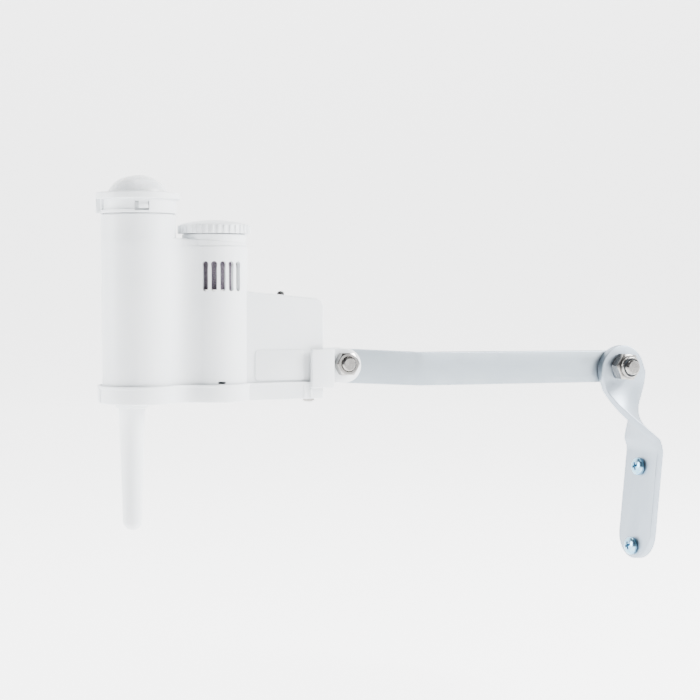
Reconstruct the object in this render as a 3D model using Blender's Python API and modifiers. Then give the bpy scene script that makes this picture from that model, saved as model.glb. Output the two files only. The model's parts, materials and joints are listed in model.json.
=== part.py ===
"""A wireless rain, freeze and solar sensor on a bent aluminium arm and a twisted wall bracket.

Frame: metres, +Z up, +X from the sensor to the wall. The origin is on the wall side of the bracket's
lower plate, midway between its two screw holes. The sensor stands upright, as it does in use.
"""

import math

import bmesh
import bpy
from mathutils import Matrix, Vector

MM = 0.001
GAP = 0.3 * MM  # between touching pieces
SEGMENTS = 40
FINE_SEGMENTS = 20
SMALL_SEGMENTS = 16

# Wall bracket: a strap with round ends, twisted a quarter turn and then bent
STRAP_WIDTH = 20.5 * MM
STRAP_THICKNESS = 3.2 * MM
PLATE_TILT = math.radians(5.8)  # how far the plate leans from the vertical at rest
SCREW_SPACING = 32.4 * MM
PLATE_END = 4.9 * MM  # lower hole to the strap's end
PLATE_TOP = 7.5 * MM  # upper hole to the bend
BRACKET_BEND = math.radians(26.8)
BRACKET_BEND_RADIUS = 8.0 * MM
BEND_TO_PIVOT = 36.1 * MM
PIVOT_END = 8.4 * MM  # pivot hole to the strap's upper end
TWIST_START = 6.5 * MM  # from the pivot hole, down the strap
TWIST_LENGTH = 25.5 * MM

# Arm: a flat bar with two legs
ARM_WIDTH = 12.7 * MM
ARM_THICKNESS = 3.2 * MM
ARM_LONG_LEG = 90.1 * MM  # pivot bolt to the bend
ARM_SHORT_LEG = 32.6 * MM  # bend to the clevis bolt
ARM_YAW = math.radians(3.5)
ARM_LONG_RISE = math.radians(0.7)
ARM_SHORT_RISE = math.radians(3.3)
ARM_BEND_LENGTH = 6.0 * MM
CLEVIS_HOLE_RISE = 0.9 * MM  # clevis hole above the bar's centre line

# Fasteners: shank radius, width across flats, head height, nut height
PIVOT_SHANK = 3.0 * MM
PIVOT_FLATS = 10.0 * MM
PIVOT_HEAD = 4.0 * MM
PIVOT_NUT_HEX = 4.6 * MM
PIVOT_NUT_COLLAR = 1.6 * MM
PIVOT_NUT_COLLAR_RADIUS = 4.3 * MM
PIVOT_NUT_LIP = 0.4 * MM  # metal outside the nylon insert
PIVOT_STICKS_OUT = 1.8 * MM
CLEVIS_SHANK = 2.5 * MM
CLEVIS_FLATS = 8.0 * MM
CLEVIS_HEAD = 3.5 * MM
CLEVIS_NUT = 4.0 * MM
CLEVIS_STICKS_OUT = 1.2 * MM
WALL_SCREW_SHANK = 1.75 * MM
WALL_SCREW_HEAD = 3.6 * MM
WALL_SCREW_HEAD_HEIGHT = 2.6 * MM
WALL_SCREW_BITE = 6.0 * MM  # thread beyond the wall face
SMALL_SCREW_SHANK = 1.1 * MM
SMALL_SCREW_HEAD = 2.2 * MM
SMALL_SCREW_HEAD_HEIGHT = 1.4 * MM
SMALL_SCREW_LENGTH = 6.0 * MM

# Sensor body, from the tall tube's axis at the tray's underside
WALL = 1.6 * MM
TALL_RADIUS = 13.1 * MM
TALL_DRAFT = 0.25 * MM  # how much narrower the foot is
TALL_TOP = 65.6 * MM
NECK_HEIGHT = 4.0 * MM
TALL_ROOF = 2.0 * MM
NECK_RADIUS = TALL_RADIUS - 1.4 * MM
RAIN_RADIUS = 11.8 * MM
RAIN_X = TALL_RADIUS + RAIN_RADIUS + 2.75 * MM
RAIN_TOP = 59.0 * MM
WEB_HALF = 8.0 * MM
WEB_TOP = RAIN_TOP - 1.6 * MM
WEB_PASSAGE_HALF = 4.0 * MM  # for the wires, inside the web
BOX_END = RAIN_X + RAIN_RADIUS + 27.65 * MM
BOX_HALF = 6.5 * MM
BOX_TOP = 38.9 * MM  # beside the rain tube
BOX_TOP_FALL = math.radians(5.3)
BOX_CORNER = 3.0 * MM
DRAIN_HALF = 1.4 * MM
DRAIN_HEIGHT = 0.9 * MM
DRAIN_ANGLE = math.radians(-95)

# Tray
TRAY_HEIGHT = 6.25 * MM
TRAY_FLOOR = 1.2 * MM
TRAY_SKIRT = 0.85 * MM
TRAY_END_SHORT = 0.6 * MM  # how far the tray stops short of the yoke
BOSS_RADIUS = 2.4 * MM
BOSS_TOP = 10.0 * MM
BOSS_FROM_WALL = 2.0 * MM  # boss centre to the bore's face
HUB_RADIUS = 5.7 * MM
HUB_DROP = 2.0 * MM

# Antenna
ANTENNA_X = -2.7 * MM
ANTENNA_LENGTH = 45.0 * MM  # below the tray
ANTENNA_TOP_RADIUS = 4.75 * MM
ANTENNA_TIP_RADIUS = 3.4 * MM
ANTENNA_BORE = 2.2 * MM
ANTENNA_WIRE_RADIUS = 0.7 * MM
ANTENNA_FLANGE = 6.3 * MM
ANTENNA_FLANGE_HEIGHT = 1.0 * MM
ANTENNA_TIP_WALL = 5.0 * MM  # tip to the bore's end

# Lens and its retainer
RETAINER_SKIRT = TALL_RADIUS + 0.2 * MM
RETAINER_HEIGHT = 7.2 * MM
FLANGE_RADIUS = RETAINER_SKIRT + 1.4 * MM
FLANGE_HEIGHT = 2.3 * MM
DOME_RADIUS = NECK_RADIUS - 1.0 * MM
DOME_RISE = 6.3 * MM  # above the flange
DOME_WALL = 1.2 * MM
DOME_FOOT = 0.8 * MM
GASKET = 0.8 * MM
SNAP_COUNT = 3
SNAP_WINDOW = 4.0 * MM
SNAP_LOW = 1.2 * MM  # above the retainer's foot
SNAP_HIGH = 3.6 * MM
SNAP_ANGLE = math.radians(-96)
TAB_ANGLE = math.radians(168)
LEAD_HOLE = 4.0 * MM  # through the roof, for the wires
DIODE_RADIUS = 2.5 * MM
DIODE_HEIGHT = 1.6 * MM

# Rain sensor
VENT_COUNT = 5
VENT_WIDTH = 2.0 * MM
VENT_LOW = 38.9 * MM
VENT_HEIGHT = 10.6 * MM
VENT_PITCH = math.radians(15.2)
VENT_CENTRE = math.radians(-92.5)
CAP_RADIUS = RAIN_RADIUS + 1.2 * MM
CAP_SIDE = 3.2 * MM
CAP_CROWN = 1.7 * MM
SLEEVE_WALL = 0.8 * MM
SLEEVE_WINDOW = 13.5 * MM
SLEEVE_BORE = RAIN_RADIUS - WALL - GAP - SLEEVE_WALL
DISC_COUNT = 5
DISC_RADIUS = SLEEVE_BORE - 0.8 * MM
DISC_THICKNESS = 2.0 * MM
PLUNGER_PLATE = 1.5 * MM
PLUNGER_STEM = 1.6 * MM
PLUNGER_TRAVEL = 1.5 * MM
SPRING_HEIGHT = 4.0 * MM
SPRING_RADIUS = 4.0 * MM
SPRING_WIRE = 0.5 * MM
SPRING_TURNS = 4
SEAT_Z = 33.0 * MM  # floor that carries the spring
SEAT_THICKNESS = 1.6 * MM

# Switch under the plunger
SWITCH_SIZE = Vector((12.8, 5.8, 6.5)) * MM
LEVER_LENGTH = 10.5 * MM
LEVER_THICKNESS = 0.4 * MM
LEVER_WIDTH = 3.4 * MM
LEVER_REACH = 6.0 * MM  # lever pivot to the plunger's axis
LEVER_Z = 24.0 * MM
LEVER_ANGLE = math.atan(PLUNGER_TRAVEL / LEVER_REACH)
SWITCH_BEHIND = 2.5 * MM  # switch body behind the lever's pivot

# Electronics
BOARD_THICKNESS = 1.6 * MM
BATTERY_RADIUS = 7.25 * MM
BATTERY_LENGTH = 25.0 * MM
BATTERY_Z = 16.0 * MM
CONTACT_THICKNESS = 0.5 * MM
THERMISTOR_RADIUS = 1.1 * MM
THERMISTOR_LENGTH = 3.0 * MM
TACTILE_HALF = 2.2 * MM
BUTTON_X = BOX_END - 14.4 * MM
BUTTON_RADIUS = 1.3 * MM
BUTTON_PROUD = 1.3 * MM
BUTTON_COLLAR = 0.7 * MM
BUTTON_TRAVEL = 0.7 * MM

# Yoke
CLEVIS_X = BOX_END + 8.6 * MM
CLEVIS_Z = 12.3 * MM
YOKE_LOW = 3.85 * MM
YOKE_HIGH = 17.8 * MM
YOKE_CHEEK_START = BOX_END - 5.8 * MM
YOKE_CHEEK_END = BOX_END + 3.1 * MM
YOKE_CHEEK = 1.5 * MM
EAR_RADIUS = 6.3 * MM
EAR_THICKNESS = 3.1 * MM
EAR_DROP = 0.7 * MM  # ear's centre below the clevis bolt
EAR_BEYOND = 0.5 * MM  # ear's centre beyond the clevis bolt
EAR_OVERLAP = 0.5 * MM  # into the yoke's web
ARM_END_ROOM = 0.3 * MM
YOKE_SCREW_X = BOX_END - 3.2 * MM
YOKE_SCREW_Z = 13.5 * MM

QUARTER = math.pi / 2
ALONG_Y = (QUARTER, 0, 0)  # turns a +Z piece to -Y
ALONG_X = (0, QUARTER, 0)  # turns a +Z piece to +X


# ---------------------------------------------------------------- scene helpers


def fresh_collection(name):
    collection = bpy.data.collections.new(name)
    bpy.context.scene.collection.children.link(collection)
    return collection


def material(name, colour, roughness, metallic=0.0, alpha=1.0):
    made = bpy.data.materials.new(name)
    made.use_nodes = True
    shader = made.node_tree.nodes["Principled BSDF"]
    shader.inputs["Base Color"].default_value = (*colour, 1.0)
    shader.inputs["Roughness"].default_value = roughness
    shader.inputs["Metallic"].default_value = metallic
    shader.inputs["Alpha"].default_value = alpha
    return made


def empty(name, location, rotation=(0, 0, 0), parent=None):
    made = bpy.data.objects.new(name, None)
    made.location = location
    made.rotation_euler = rotation
    made.parent = parent
    parts.objects.link(made)
    return made


def add(name, mesh, home, finish=None, location=(0, 0, 0), rotation=(0, 0, 0)):
    """A mesh object under the empty called home. Without a finish it is a helper shape."""
    made = bpy.data.objects.new(name, mesh)
    made.location = location
    made.rotation_euler = rotation
    made.parent = home
    if finish:
        mesh.materials.append(finish)
        parts.objects.link(made)
    else:
        made.hide_render = True
        made.display_type = "WIRE"
        helpers.objects.link(made)
    return made


def mesh_of(bm, name):
    mesh = bpy.data.meshes.new(name)
    bm.to_mesh(mesh)
    bm.free()
    return mesh


def smooth(obj):
    obj.data.shade_smooth()
    obj.data.set_sharp_from_angle(angle=math.radians(35))
    return obj


def block(name, low, high, home, finish=None):
    """A box between two corners."""
    low = Vector(low)
    high = Vector(high)
    bm = bmesh.new()
    bmesh.ops.create_cube(bm, size=1.0)
    bmesh.ops.scale(bm, vec=high - low, verts=bm.verts)
    return add(name, mesh_of(bm, name), home, finish, (low + high) / 2)


def around(shape, angle):
    """Turns a helper block about the vertical axis of its parent."""
    shape.location = Matrix.Rotation(angle, 4, "Z") @ shape.location
    shape.rotation_euler = (0, 0, angle)
    return shape


def rod(name, radius, start, length, home, finish=None, rotation=(0, 0, 0), sides=SEGMENTS):
    """A cylinder or prism that starts at a point and runs along its own +Z."""
    bm = bmesh.new()
    bmesh.ops.create_cone(
        bm,
        cap_ends=True,
        segments=sides,
        radius1=radius,
        radius2=radius,
        depth=length,
    )
    bmesh.ops.translate(bm, vec=(0, 0, length / 2), verts=bm.verts)
    made = add(name, mesh_of(bm, name), home, finish, start, rotation)
    return smooth(made) if sides > 6 else made


def hexagon(name, flats, start, length, home, finish=None, rotation=(0, 0, 0)):
    """A hexagonal prism, by its width across flats."""
    return rod(name, flats / math.sqrt(3), start, length, home, finish, rotation, sides=6)


def turned(name, profile, home, finish=None, location=(0, 0, 0), rotation=(0, 0, 0), steps=SEGMENTS):
    """A profile of (radius, height) points, turned about Z. It runs down the outer side."""
    closed = profile[0][0] > 0 or profile[-1][0] > 0
    bm = bmesh.new()
    verts = [bm.verts.new((radius, 0, height)) for radius, height in profile]
    for first, second in zip(verts, verts[1:]):
        bm.edges.new((first, second))
    if closed:
        bm.edges.new((verts[-1], verts[0]))
    made = add(name, mesh_of(bm, name), home, finish, location, rotation)
    screw = made.modifiers.new("turn", "SCREW")
    screw.steps = steps
    screw.render_steps = steps
    screw.use_merge_vertices = True
    screw.merge_threshold = 1e-6
    return made


def combine(target, operation, shapes):
    for shape in shapes:
        boolean = target.modifiers.new(shape.name, "BOOLEAN")
        boolean.operation = operation
        boolean.solver = "EXACT"
        boolean.object = shape
    return target


def join(target, *shapes):
    return combine(target, "UNION", shapes)


def cut(target, *shapes):
    return combine(target, "DIFFERENCE", shapes)


def arc(centre, radius, start, end, count):
    """Points on an arc, from one angle to another."""
    angles = [start + (end - start) * step / count for step in range(count + 1)]
    return [Vector((centre[0] + radius * math.cos(a), centre[1] + radius * math.sin(a))) for a in angles]


def outline_mesh(name, loops, thickness):
    """A flat outline with holes, in X and Y, thickened both ways along Z and welded."""
    curve = bpy.data.curves.new(name, "CURVE")
    curve.dimensions = "2D"
    curve.fill_mode = "BOTH"
    curve.extrude = thickness / 2
    for loop in loops:
        spline = curve.splines.new("POLY")
        spline.points.add(len(loop) - 1)
        for point, place in zip(spline.points, loop):
            point.co = (place[0], place[1], 0, 1)
        spline.use_cyclic_u = True
    shape = bpy.data.objects.new(name, curve)
    helpers.objects.link(shape)
    graph = bpy.context.evaluated_depsgraph_get()
    mesh = bpy.data.meshes.new_from_object(shape.evaluated_get(graph))
    bpy.data.objects.remove(shape, do_unlink=True)
    bm = bmesh.new()
    bm.from_mesh(mesh)
    bmesh.ops.remove_doubles(bm, verts=bm.verts, dist=1e-6)
    bmesh.ops.dissolve_limit(bm, angle_limit=math.radians(0.5), verts=bm.verts, edges=bm.edges)
    bm.to_mesh(mesh)
    bm.free()
    return mesh


def shape_along(mesh, stations, moved):
    """Slices a flat bar that lies along X at each station, and moves its vertices by a rule."""
    bm = bmesh.new()
    bm.from_mesh(mesh)
    for station in stations:
        everything = bm.verts[:] + bm.edges[:] + bm.faces[:]
        bmesh.ops.bisect_plane(bm, geom=everything, plane_co=(station, 0, 0), plane_no=(1, 0, 0))
    bmesh.ops.triangulate(bm, faces=[face for face in bm.faces if len(face.verts) > 4])
    for vert in bm.verts:
        vert.co = moved(vert.co)
    bmesh.ops.recalc_face_normals(bm, faces=bm.faces)
    if bm.calc_volume(signed=True) < 0:
        bmesh.ops.reverse_faces(bm, faces=bm.faces)
    bm.to_mesh(mesh)
    bm.free()
    return mesh


def strap_outline(start, end, radius, corner_steps=14):
    """A bar along X with round ends, from one tip to the other."""
    loop = arc((end - radius, 0), radius, -QUARTER, QUARTER, corner_steps)
    return loop + arc((start + radius, 0), radius, QUARTER, 3 * QUARTER, corner_steps)


def ring_loop(centre, radius, steps=FINE_SEGMENTS):
    return arc(centre, radius, 0, 2 * math.pi, steps)[:-1]


def eased(share):
    """0 to 1 with a soft start and stop."""
    share = min(max(share, 0.0), 1.0)
    return share * share * (3 - 2 * share)


# ---------------------------------------------------------------- clean start

for old in list(bpy.data.objects):
    bpy.data.objects.remove(old, do_unlink=True)
parts = fresh_collection("wireless_weather_sensor")
helpers = fresh_collection("helper_shapes")

WHITE = material("white_abs", (0.83, 0.84, 0.85), 0.42)
LENS = material("frosted_lens", (0.78, 0.84, 0.87), 0.18, alpha=0.75)
RUBBER = material("black_rubber", (0.02, 0.02, 0.02), 0.7)
GREY_RUBBER = material("grey_rubber", (0.22, 0.22, 0.23), 0.75)
FELT = material("moisture_disc", (0.34, 0.28, 0.27), 0.9)
ARM_METAL = material("satin_aluminium", (0.72, 0.74, 0.77), 0.45, 1.0)
STEEL = material("stainless_steel", (0.62, 0.61, 0.59), 0.28, 1.0)
ZINC = material("zinc_plated_steel", (0.55, 0.66, 0.74), 0.3, 1.0)
NYLON = material("black_nylon", (0.03, 0.035, 0.045), 0.45)
BOARD = material("green_board", (0.03, 0.16, 0.07), 0.5)
BLACK = material("black_plastic", (0.03, 0.03, 0.03), 0.5)
CELL = material("battery_jacket", (0.1, 0.2, 0.42), 0.35)
BRASS = material("plated_contact", (0.75, 0.68, 0.45), 0.35, 1.0)


# ---------------------------------------------------------------- where things are

SMALL_HOLE = SMALL_SCREW_SHANK + GAP
PIVOT_HOLE = PIVOT_SHANK + GAP
CLEVIS_HOLE = CLEVIS_SHANK + GAP
PLATE_BEND_Z = SCREW_SPACING / 2 + PLATE_TOP
PIVOT_LOCAL = Vector(
    (
        -STRAP_THICKNESS / 2 - BEND_TO_PIVOT * math.sin(BRACKET_BEND),
        0,
        PLATE_BEND_Z + BEND_TO_PIVOT * math.cos(BRACKET_BEND),
    )
)
BRACKET_TURN = Matrix.Rotation(PLATE_TILT, 4, "Y")
ARM_Y = STRAP_THICKNESS / 2 + GAP + ARM_THICKNESS / 2
PIVOT = BRACKET_TURN @ PIVOT_LOCAL


def arm_rule(place):
    """Flat bar to bent arm: X runs from the pivot to the sensor, Y across, Z through the bar."""
    along, height, depth = place
    bend = eased((along - ARM_LONG_LEG) / ARM_BEND_LENGTH + 0.5)
    turn = Matrix.Rotation(-ARM_YAW * bend, 4, "Z") @ Matrix.Rotation(
        (ARM_SHORT_RISE - ARM_LONG_RISE) * bend, 4, "Y"
    )
    corner = Vector((-ARM_LONG_LEG, 0, 0))
    flat = Vector((-along, depth, height))
    return Matrix.Rotation(ARM_LONG_RISE, 4, "Y") @ (corner + turn @ (flat - corner))


CLEVIS = (
    PIVOT
    + Vector((0, ARM_Y, 0))
    + arm_rule((ARM_LONG_LEG + ARM_SHORT_LEG, CLEVIS_HOLE_RISE, 0))
)

bracket_home = empty("bracket_frame", (0, 0, 0), (0, PLATE_TILT, 0))
pivot_home = empty("arm_pivot", PIVOT + Vector((0, ARM_Y, 0)))
head_home = empty("head_pivot", CLEVIS, (0, 0, -ARM_YAW))
sensor = empty("sensor_datum", (-CLEVIS_X, 0, -CLEVIS_Z), parent=head_home)
rain_home = empty("vent_cap_axis", (RAIN_X, 0, 0), parent=sensor)
button_home = empty("button_axis", (BUTTON_X, 0, 0), parent=sensor)


# ---------------------------------------------------------------- wall bracket


def bracket_rule(place):
    """Flat strap to twisted bracket: X runs down from the pivot, Y across, Z through the strap."""
    along, across, through = place
    twist = QUARTER * min(max((along - TWIST_START) / TWIST_LENGTH, 0), 1)
    side = across * math.cos(twist) + through * math.sin(twist)
    out = across * math.sin(twist) - through * math.cos(twist)
    sweep = BRACKET_BEND_RADIUS * math.tan(BRACKET_BEND / 2)
    bend_start = BEND_TO_PIVOT - sweep
    turned_by = min(max((along - bend_start) / BRACKET_BEND_RADIUS, 0), BRACKET_BEND)
    straight = min(along, bend_start)
    after = max(along - bend_start - BRACKET_BEND_RADIUS * BRACKET_BEND, 0)
    heading = BRACKET_BEND - turned_by
    x = straight * math.sin(BRACKET_BEND) + after * math.sin(heading)
    x += BRACKET_BEND_RADIUS * (math.cos(heading) - math.cos(BRACKET_BEND))
    z = -straight * math.cos(BRACKET_BEND) - after * math.cos(heading)
    z -= BRACKET_BEND_RADIUS * (math.sin(BRACKET_BEND) - math.sin(heading))
    x += side * math.cos(heading)
    z += side * math.sin(heading)
    return PIVOT_LOCAL + Vector((x, out, z))


def make_bracket():
    shortened = 2 * BRACKET_BEND_RADIUS * math.tan(BRACKET_BEND / 2) - BRACKET_BEND_RADIUS * BRACKET_BEND
    upper_hole = BEND_TO_PIVOT - shortened + PLATE_TOP
    lower_hole = upper_hole + SCREW_SPACING
    screw_hole = WALL_SCREW_SHANK + GAP
    loops = [
        strap_outline(-PIVOT_END, lower_hole + PLATE_END, STRAP_WIDTH / 2),
        ring_loop((0, 0), PIVOT_HOLE),
        ring_loop((upper_hole, 0), screw_hole),
        ring_loop((lower_hole, 0), screw_hole),
    ]
    mesh = outline_mesh("wall_bracket", loops, STRAP_THICKNESS)
    slices = 22
    last = BEND_TO_PIVOT + BRACKET_BEND_RADIUS * BRACKET_BEND / 2
    stations = [TWIST_START + (last - TWIST_START) * step / slices for step in range(slices + 1)]
    shape_along(mesh, stations, bracket_rule)
    smooth(add("wall_bracket", mesh, bracket_home, ARM_METAL))


def pan_head_screw(name, head, height, shank, length, home, finish, location, rotation=(0, 0, 0)):
    """A pan-head screw: the head's seat is at the origin and the shank runs down its own -Z."""
    profile = [
        (0, height),
        (head * 0.55, height * 0.94),
        (head * 0.86, height * 0.7),
        (head, height * 0.3),
        (head, 0),
        (shank, 0),
        (shank, -length + shank),
        (0, -length),
    ]
    return turned(name, profile, home, finish, location, rotation, steps=FINE_SEGMENTS)


def hex_bolt(name, flats, head, shank, length, home, finish, seat, rotation):
    """A hex bolt: the head stands on the seat and the shank runs through the work, along its +Z."""
    bolt = rod(name, shank, seat, length, home, finish, rotation, sides=FINE_SEGMENTS)
    back = Matrix.Translation(seat) @ Matrix.Rotation(rotation[0], 4, "X") @ Vector((0, 0, -head))
    cap = hexagon(name + "_head", flats, back, head + shank * 0.1, home, rotation=rotation)
    return join(bolt, cap)


def hex_nut(name, flats, height, hole, home, finish, start, rotation, collar=None):
    """A hex nut with a clear bore; a collar of (radius, height) stands on it."""
    nut = hexagon(name, flats, start, height, home, finish, rotation)
    turn = Matrix.Rotation(rotation[0], 4, "X")
    if collar:
        overlap = 0.1 * MM
        collar_start = Vector(start) + turn @ Vector((0, 0, height - overlap))
        tall = collar[1] + overlap
        join(nut, rod(name + "_collar", collar[0], collar_start, tall, home, rotation=rotation))
    below = Vector(start) - turn @ Vector((0, 0, MM))
    tall = height + (collar[1] if collar else 0) + 2 * MM
    return cut(nut, rod(name + "_bore", hole, below, tall, home, rotation=rotation, sides=FINE_SEGMENTS))


def make_wall_fasteners():
    front = -STRAP_THICKNESS - GAP
    length = STRAP_THICKNESS + GAP + WALL_SCREW_BITE
    for name, side in (("upper", 1), ("lower", -1)):
        pan_head_screw(
            f"wall_screw_{name}",
            WALL_SCREW_HEAD,
            WALL_SCREW_HEAD_HEIGHT,
            WALL_SCREW_SHANK,
            length,
            bracket_home,
            ZINC,
            (front, 0, side * SCREW_SPACING / 2),
            (0, -QUARTER, 0),
        )


def make_pivot_fasteners():
    """The bolt's head is behind the arm, and the nut is on the bracket's front face."""
    seat = Vector((PIVOT_LOCAL.x, ARM_Y + ARM_THICKNESS / 2 + GAP, PIVOT_LOCAL.z))
    nut_seat = Vector((PIVOT_LOCAL.x, -STRAP_THICKNESS / 2 - GAP, PIVOT_LOCAL.z))
    nut_height = PIVOT_NUT_HEX + PIVOT_NUT_COLLAR
    length = seat.y - nut_seat.y + nut_height + PIVOT_STICKS_OUT
    hex_bolt(
        "pivot_bolt", PIVOT_FLATS, PIVOT_HEAD, PIVOT_SHANK, length, bracket_home, STEEL, seat, ALONG_Y
    )
    collar = (PIVOT_NUT_COLLAR_RADIUS, PIVOT_NUT_COLLAR)
    nut = hex_nut(
        "pivot_nut",
        PIVOT_FLATS,
        PIVOT_NUT_HEX,
        PIVOT_SHANK + GAP / 2,
        bracket_home,
        STEEL,
        nut_seat,
        ALONG_Y,
        collar,
    )
    insert_start = nut_seat - Vector((0, PIVOT_NUT_HEX, 0))
    pocket_radius = PIVOT_NUT_COLLAR_RADIUS - PIVOT_NUT_LIP
    pocket_start = insert_start + Vector((0, GAP / 2, 0))
    pocket_height = PIVOT_NUT_COLLAR + MM
    cut(nut, rod("insert_pocket", pocket_radius, pocket_start, pocket_height, bracket_home, rotation=ALONG_Y))
    wide = pocket_radius - GAP / 2
    bore = PIVOT_SHANK + GAP / 2
    profile = [(wide, PIVOT_NUT_COLLAR), (wide, 0), (bore, 0), (bore, PIVOT_NUT_COLLAR)]
    turned("pivot_nut_insert", profile, bracket_home, NYLON, insert_start, ALONG_Y)


# ---------------------------------------------------------------- arm


def make_arm():
    length = ARM_LONG_LEG + ARM_SHORT_LEG
    half = ARM_WIDTH / 2
    loops = [
        strap_outline(-half, length + half, half),
        ring_loop((0, 0), PIVOT_HOLE),
        ring_loop((length, CLEVIS_HOLE_RISE), CLEVIS_HOLE),
    ]
    mesh = outline_mesh("mounting_arm", loops, ARM_THICKNESS)
    slices = 8
    first = ARM_LONG_LEG - ARM_BEND_LENGTH / 2
    stations = [first + ARM_BEND_LENGTH * step / slices for step in range(slices + 1)]
    shape_along(mesh, stations, arm_rule)
    smooth(add("mounting_arm", mesh, pivot_home, ARM_METAL))


# ---------------------------------------------------------------- sensor housing

TALL_BORE = TALL_RADIUS - WALL
RAIN_BORE = RAIN_RADIUS - WALL
HOUSING_FOOT = TRAY_FLOOR + GAP
NECK_TOP = TALL_TOP + NECK_HEIGHT
NECK_BORE = NECK_RADIUS - WALL + GAP
FLANGE_TOP = TALL_TOP + GAP + RETAINER_HEIGHT
TRAY_SCREW_PLACES = (
    (0, TALL_BORE - BOSS_FROM_WALL),
    (RAIN_X, RAIN_BORE - BOSS_FROM_WALL),
    (BOX_END - WALL - BOSS_FROM_WALL, 0),
)


def box_top_at(x):
    """Height of the box's sloping top."""
    return BOX_TOP - (x - RAIN_X - RAIN_RADIUS) * math.tan(BOX_TOP_FALL)


def box_shape(name, inset, foot, home):
    """The transmitter box or its hollow: a side outline with a sloping top, thickened across."""
    end = BOX_END - inset
    corner = max(BOX_CORNER - inset, 0.8 * MM)
    top = box_top_at(end) - inset
    side = [Vector((RAIN_X, foot)), Vector((end, foot))]
    side += arc((end - corner, top - corner), corner, 0, QUARTER - BOX_TOP_FALL, 6)
    side.append(Vector((RAIN_X, box_top_at(RAIN_X) - inset)))
    mesh = outline_mesh(name, [side], 2 * (BOX_HALF - inset))
    return add(name, mesh, home, rotation=ALONG_Y)


def vent_cutter(name, angle, home):
    """One slot through the tube wall, at an angle about the tube's axis."""
    low = (RAIN_BORE - MM, -VENT_WIDTH / 2, VENT_LOW)
    high = (RAIN_RADIUS + MM, VENT_WIDTH / 2, VENT_LOW + VENT_HEIGHT)
    return around(block(name, low, high, home), angle)


def make_housing():
    foot_radius = TALL_RADIUS - TALL_DRAFT
    profile = [
        (0, NECK_TOP),
        (NECK_RADIUS, NECK_TOP),
        (NECK_RADIUS, TALL_TOP),
        (TALL_RADIUS, TALL_TOP),
        (foot_radius, HOUSING_FOOT),
        (0, HOUSING_FOOT),
    ]
    housing = turned("main_housing", profile, sensor, WHITE)
    rain_height = RAIN_TOP - HOUSING_FOOT
    web_foot = HOUSING_FOOT + GAP / 10
    join(
        housing,
        rod("rain_tube", RAIN_RADIUS, (RAIN_X, 0, HOUSING_FOOT), rain_height, sensor),
        block("web", (0, -WEB_HALF, web_foot), (RAIN_X, WEB_HALF, WEB_TOP), sensor),
        box_shape("box_outside", 0, HOUSING_FOOT, sensor),
    )
    below = HOUSING_FOOT - MM
    under_seat = SEAT_Z - SEAT_THICKNESS
    passage_top = under_seat - MM
    tall_inside = TALL_TOP - TALL_ROOF
    cut(
        housing,
        rod("tall_bore", TALL_BORE, (0, 0, below), tall_inside - below, sensor),
        rod("roof_hole", LEAD_HOLE, (0, 0, tall_inside - MM), TALL_ROOF + 2 * MM, sensor),
        rod("neck_bore", NECK_BORE, (0, 0, TALL_TOP), NECK_HEIGHT + MM, sensor),
        rod("rain_lower_bore", RAIN_BORE, (RAIN_X, 0, below), under_seat - below, sensor),
        rod("rain_upper_bore", RAIN_BORE, (RAIN_X, 0, SEAT_Z), RAIN_TOP + MM - SEAT_Z, sensor),
        rod("seat_hole", PLUNGER_STEM + GAP, (RAIN_X, 0, passage_top), SEAT_THICKNESS + 2 * MM, sensor),
        block(
            "web_passage", (0, -WEB_PASSAGE_HALF, below), (RAIN_X, WEB_PASSAGE_HALF, passage_top), sensor
        ),
    )
    hollow = box_shape("box_hollow", WALL, below, sensor)
    low = (RAIN_X, -RAIN_RADIUS, below - MM)
    keep = block("hollow_limit", low, (BOX_END, RAIN_RADIUS, passage_top), sensor)
    low = (RAIN_X + RAIN_RADIUS, -RAIN_RADIUS, below - MM)
    beyond = block("hollow_beyond", low, (BOX_END, RAIN_RADIUS, RAIN_TOP), sensor)
    combine(hollow, "INTERSECT", [join(keep, beyond)])
    cut(housing, hollow)
    for index in range(VENT_COUNT):
        offset = VENT_PITCH * (index - (VENT_COUNT - 1) / 2)
        for side, turn in (("front", 0), ("rear", math.pi)):
            name = f"vent_{side}_{index + 1}"
            cut(housing, vent_cutter(name, VENT_CENTRE + offset + turn, rain_home))
    boss_foot = HOUSING_FOOT + GAP
    tall = BOSS_TOP - boss_foot
    deep = SMALL_SCREW_LENGTH + MM
    for number, (x, y) in enumerate(TRAY_SCREW_PLACES, 1):
        boss = rod(f"boss_{number}", BOSS_RADIUS, (x, y, boss_foot), tall, sensor, sides=FINE_SEGMENTS)
        join(housing, boss)
        start = (x, y, below)
        cut(housing, rod(f"boss_hole_{number}", SMALL_HOLE, start, deep, sensor, sides=SMALL_SEGMENTS))
    start = (BUTTON_X, 0, box_top_at(BUTTON_X) - 2 * WALL)
    cut(housing, rod("button_hole", BUTTON_RADIUS + GAP, start, 4 * WALL, sensor, sides=FINE_SEGMENTS))
    drain_low = TRAY_HEIGHT + GAP
    low = (RAIN_BORE - MM, -DRAIN_HALF, drain_low)
    high = (RAIN_RADIUS + MM, DRAIN_HALF, drain_low + DRAIN_HEIGHT)
    cut(housing, around(block("drain", low, high, rain_home), DRAIN_ANGLE))
    start = (YOKE_SCREW_X, BOX_HALF + MM, YOKE_SCREW_Z)
    length = WALL + 2 * MM
    cut(
        housing,
        rod("yoke_pilot", SMALL_HOLE, start, length, sensor, rotation=ALONG_Y, sides=SMALL_SEGMENTS),
    )
    return smooth(housing)


# ---------------------------------------------------------------- tray and antenna


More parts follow.
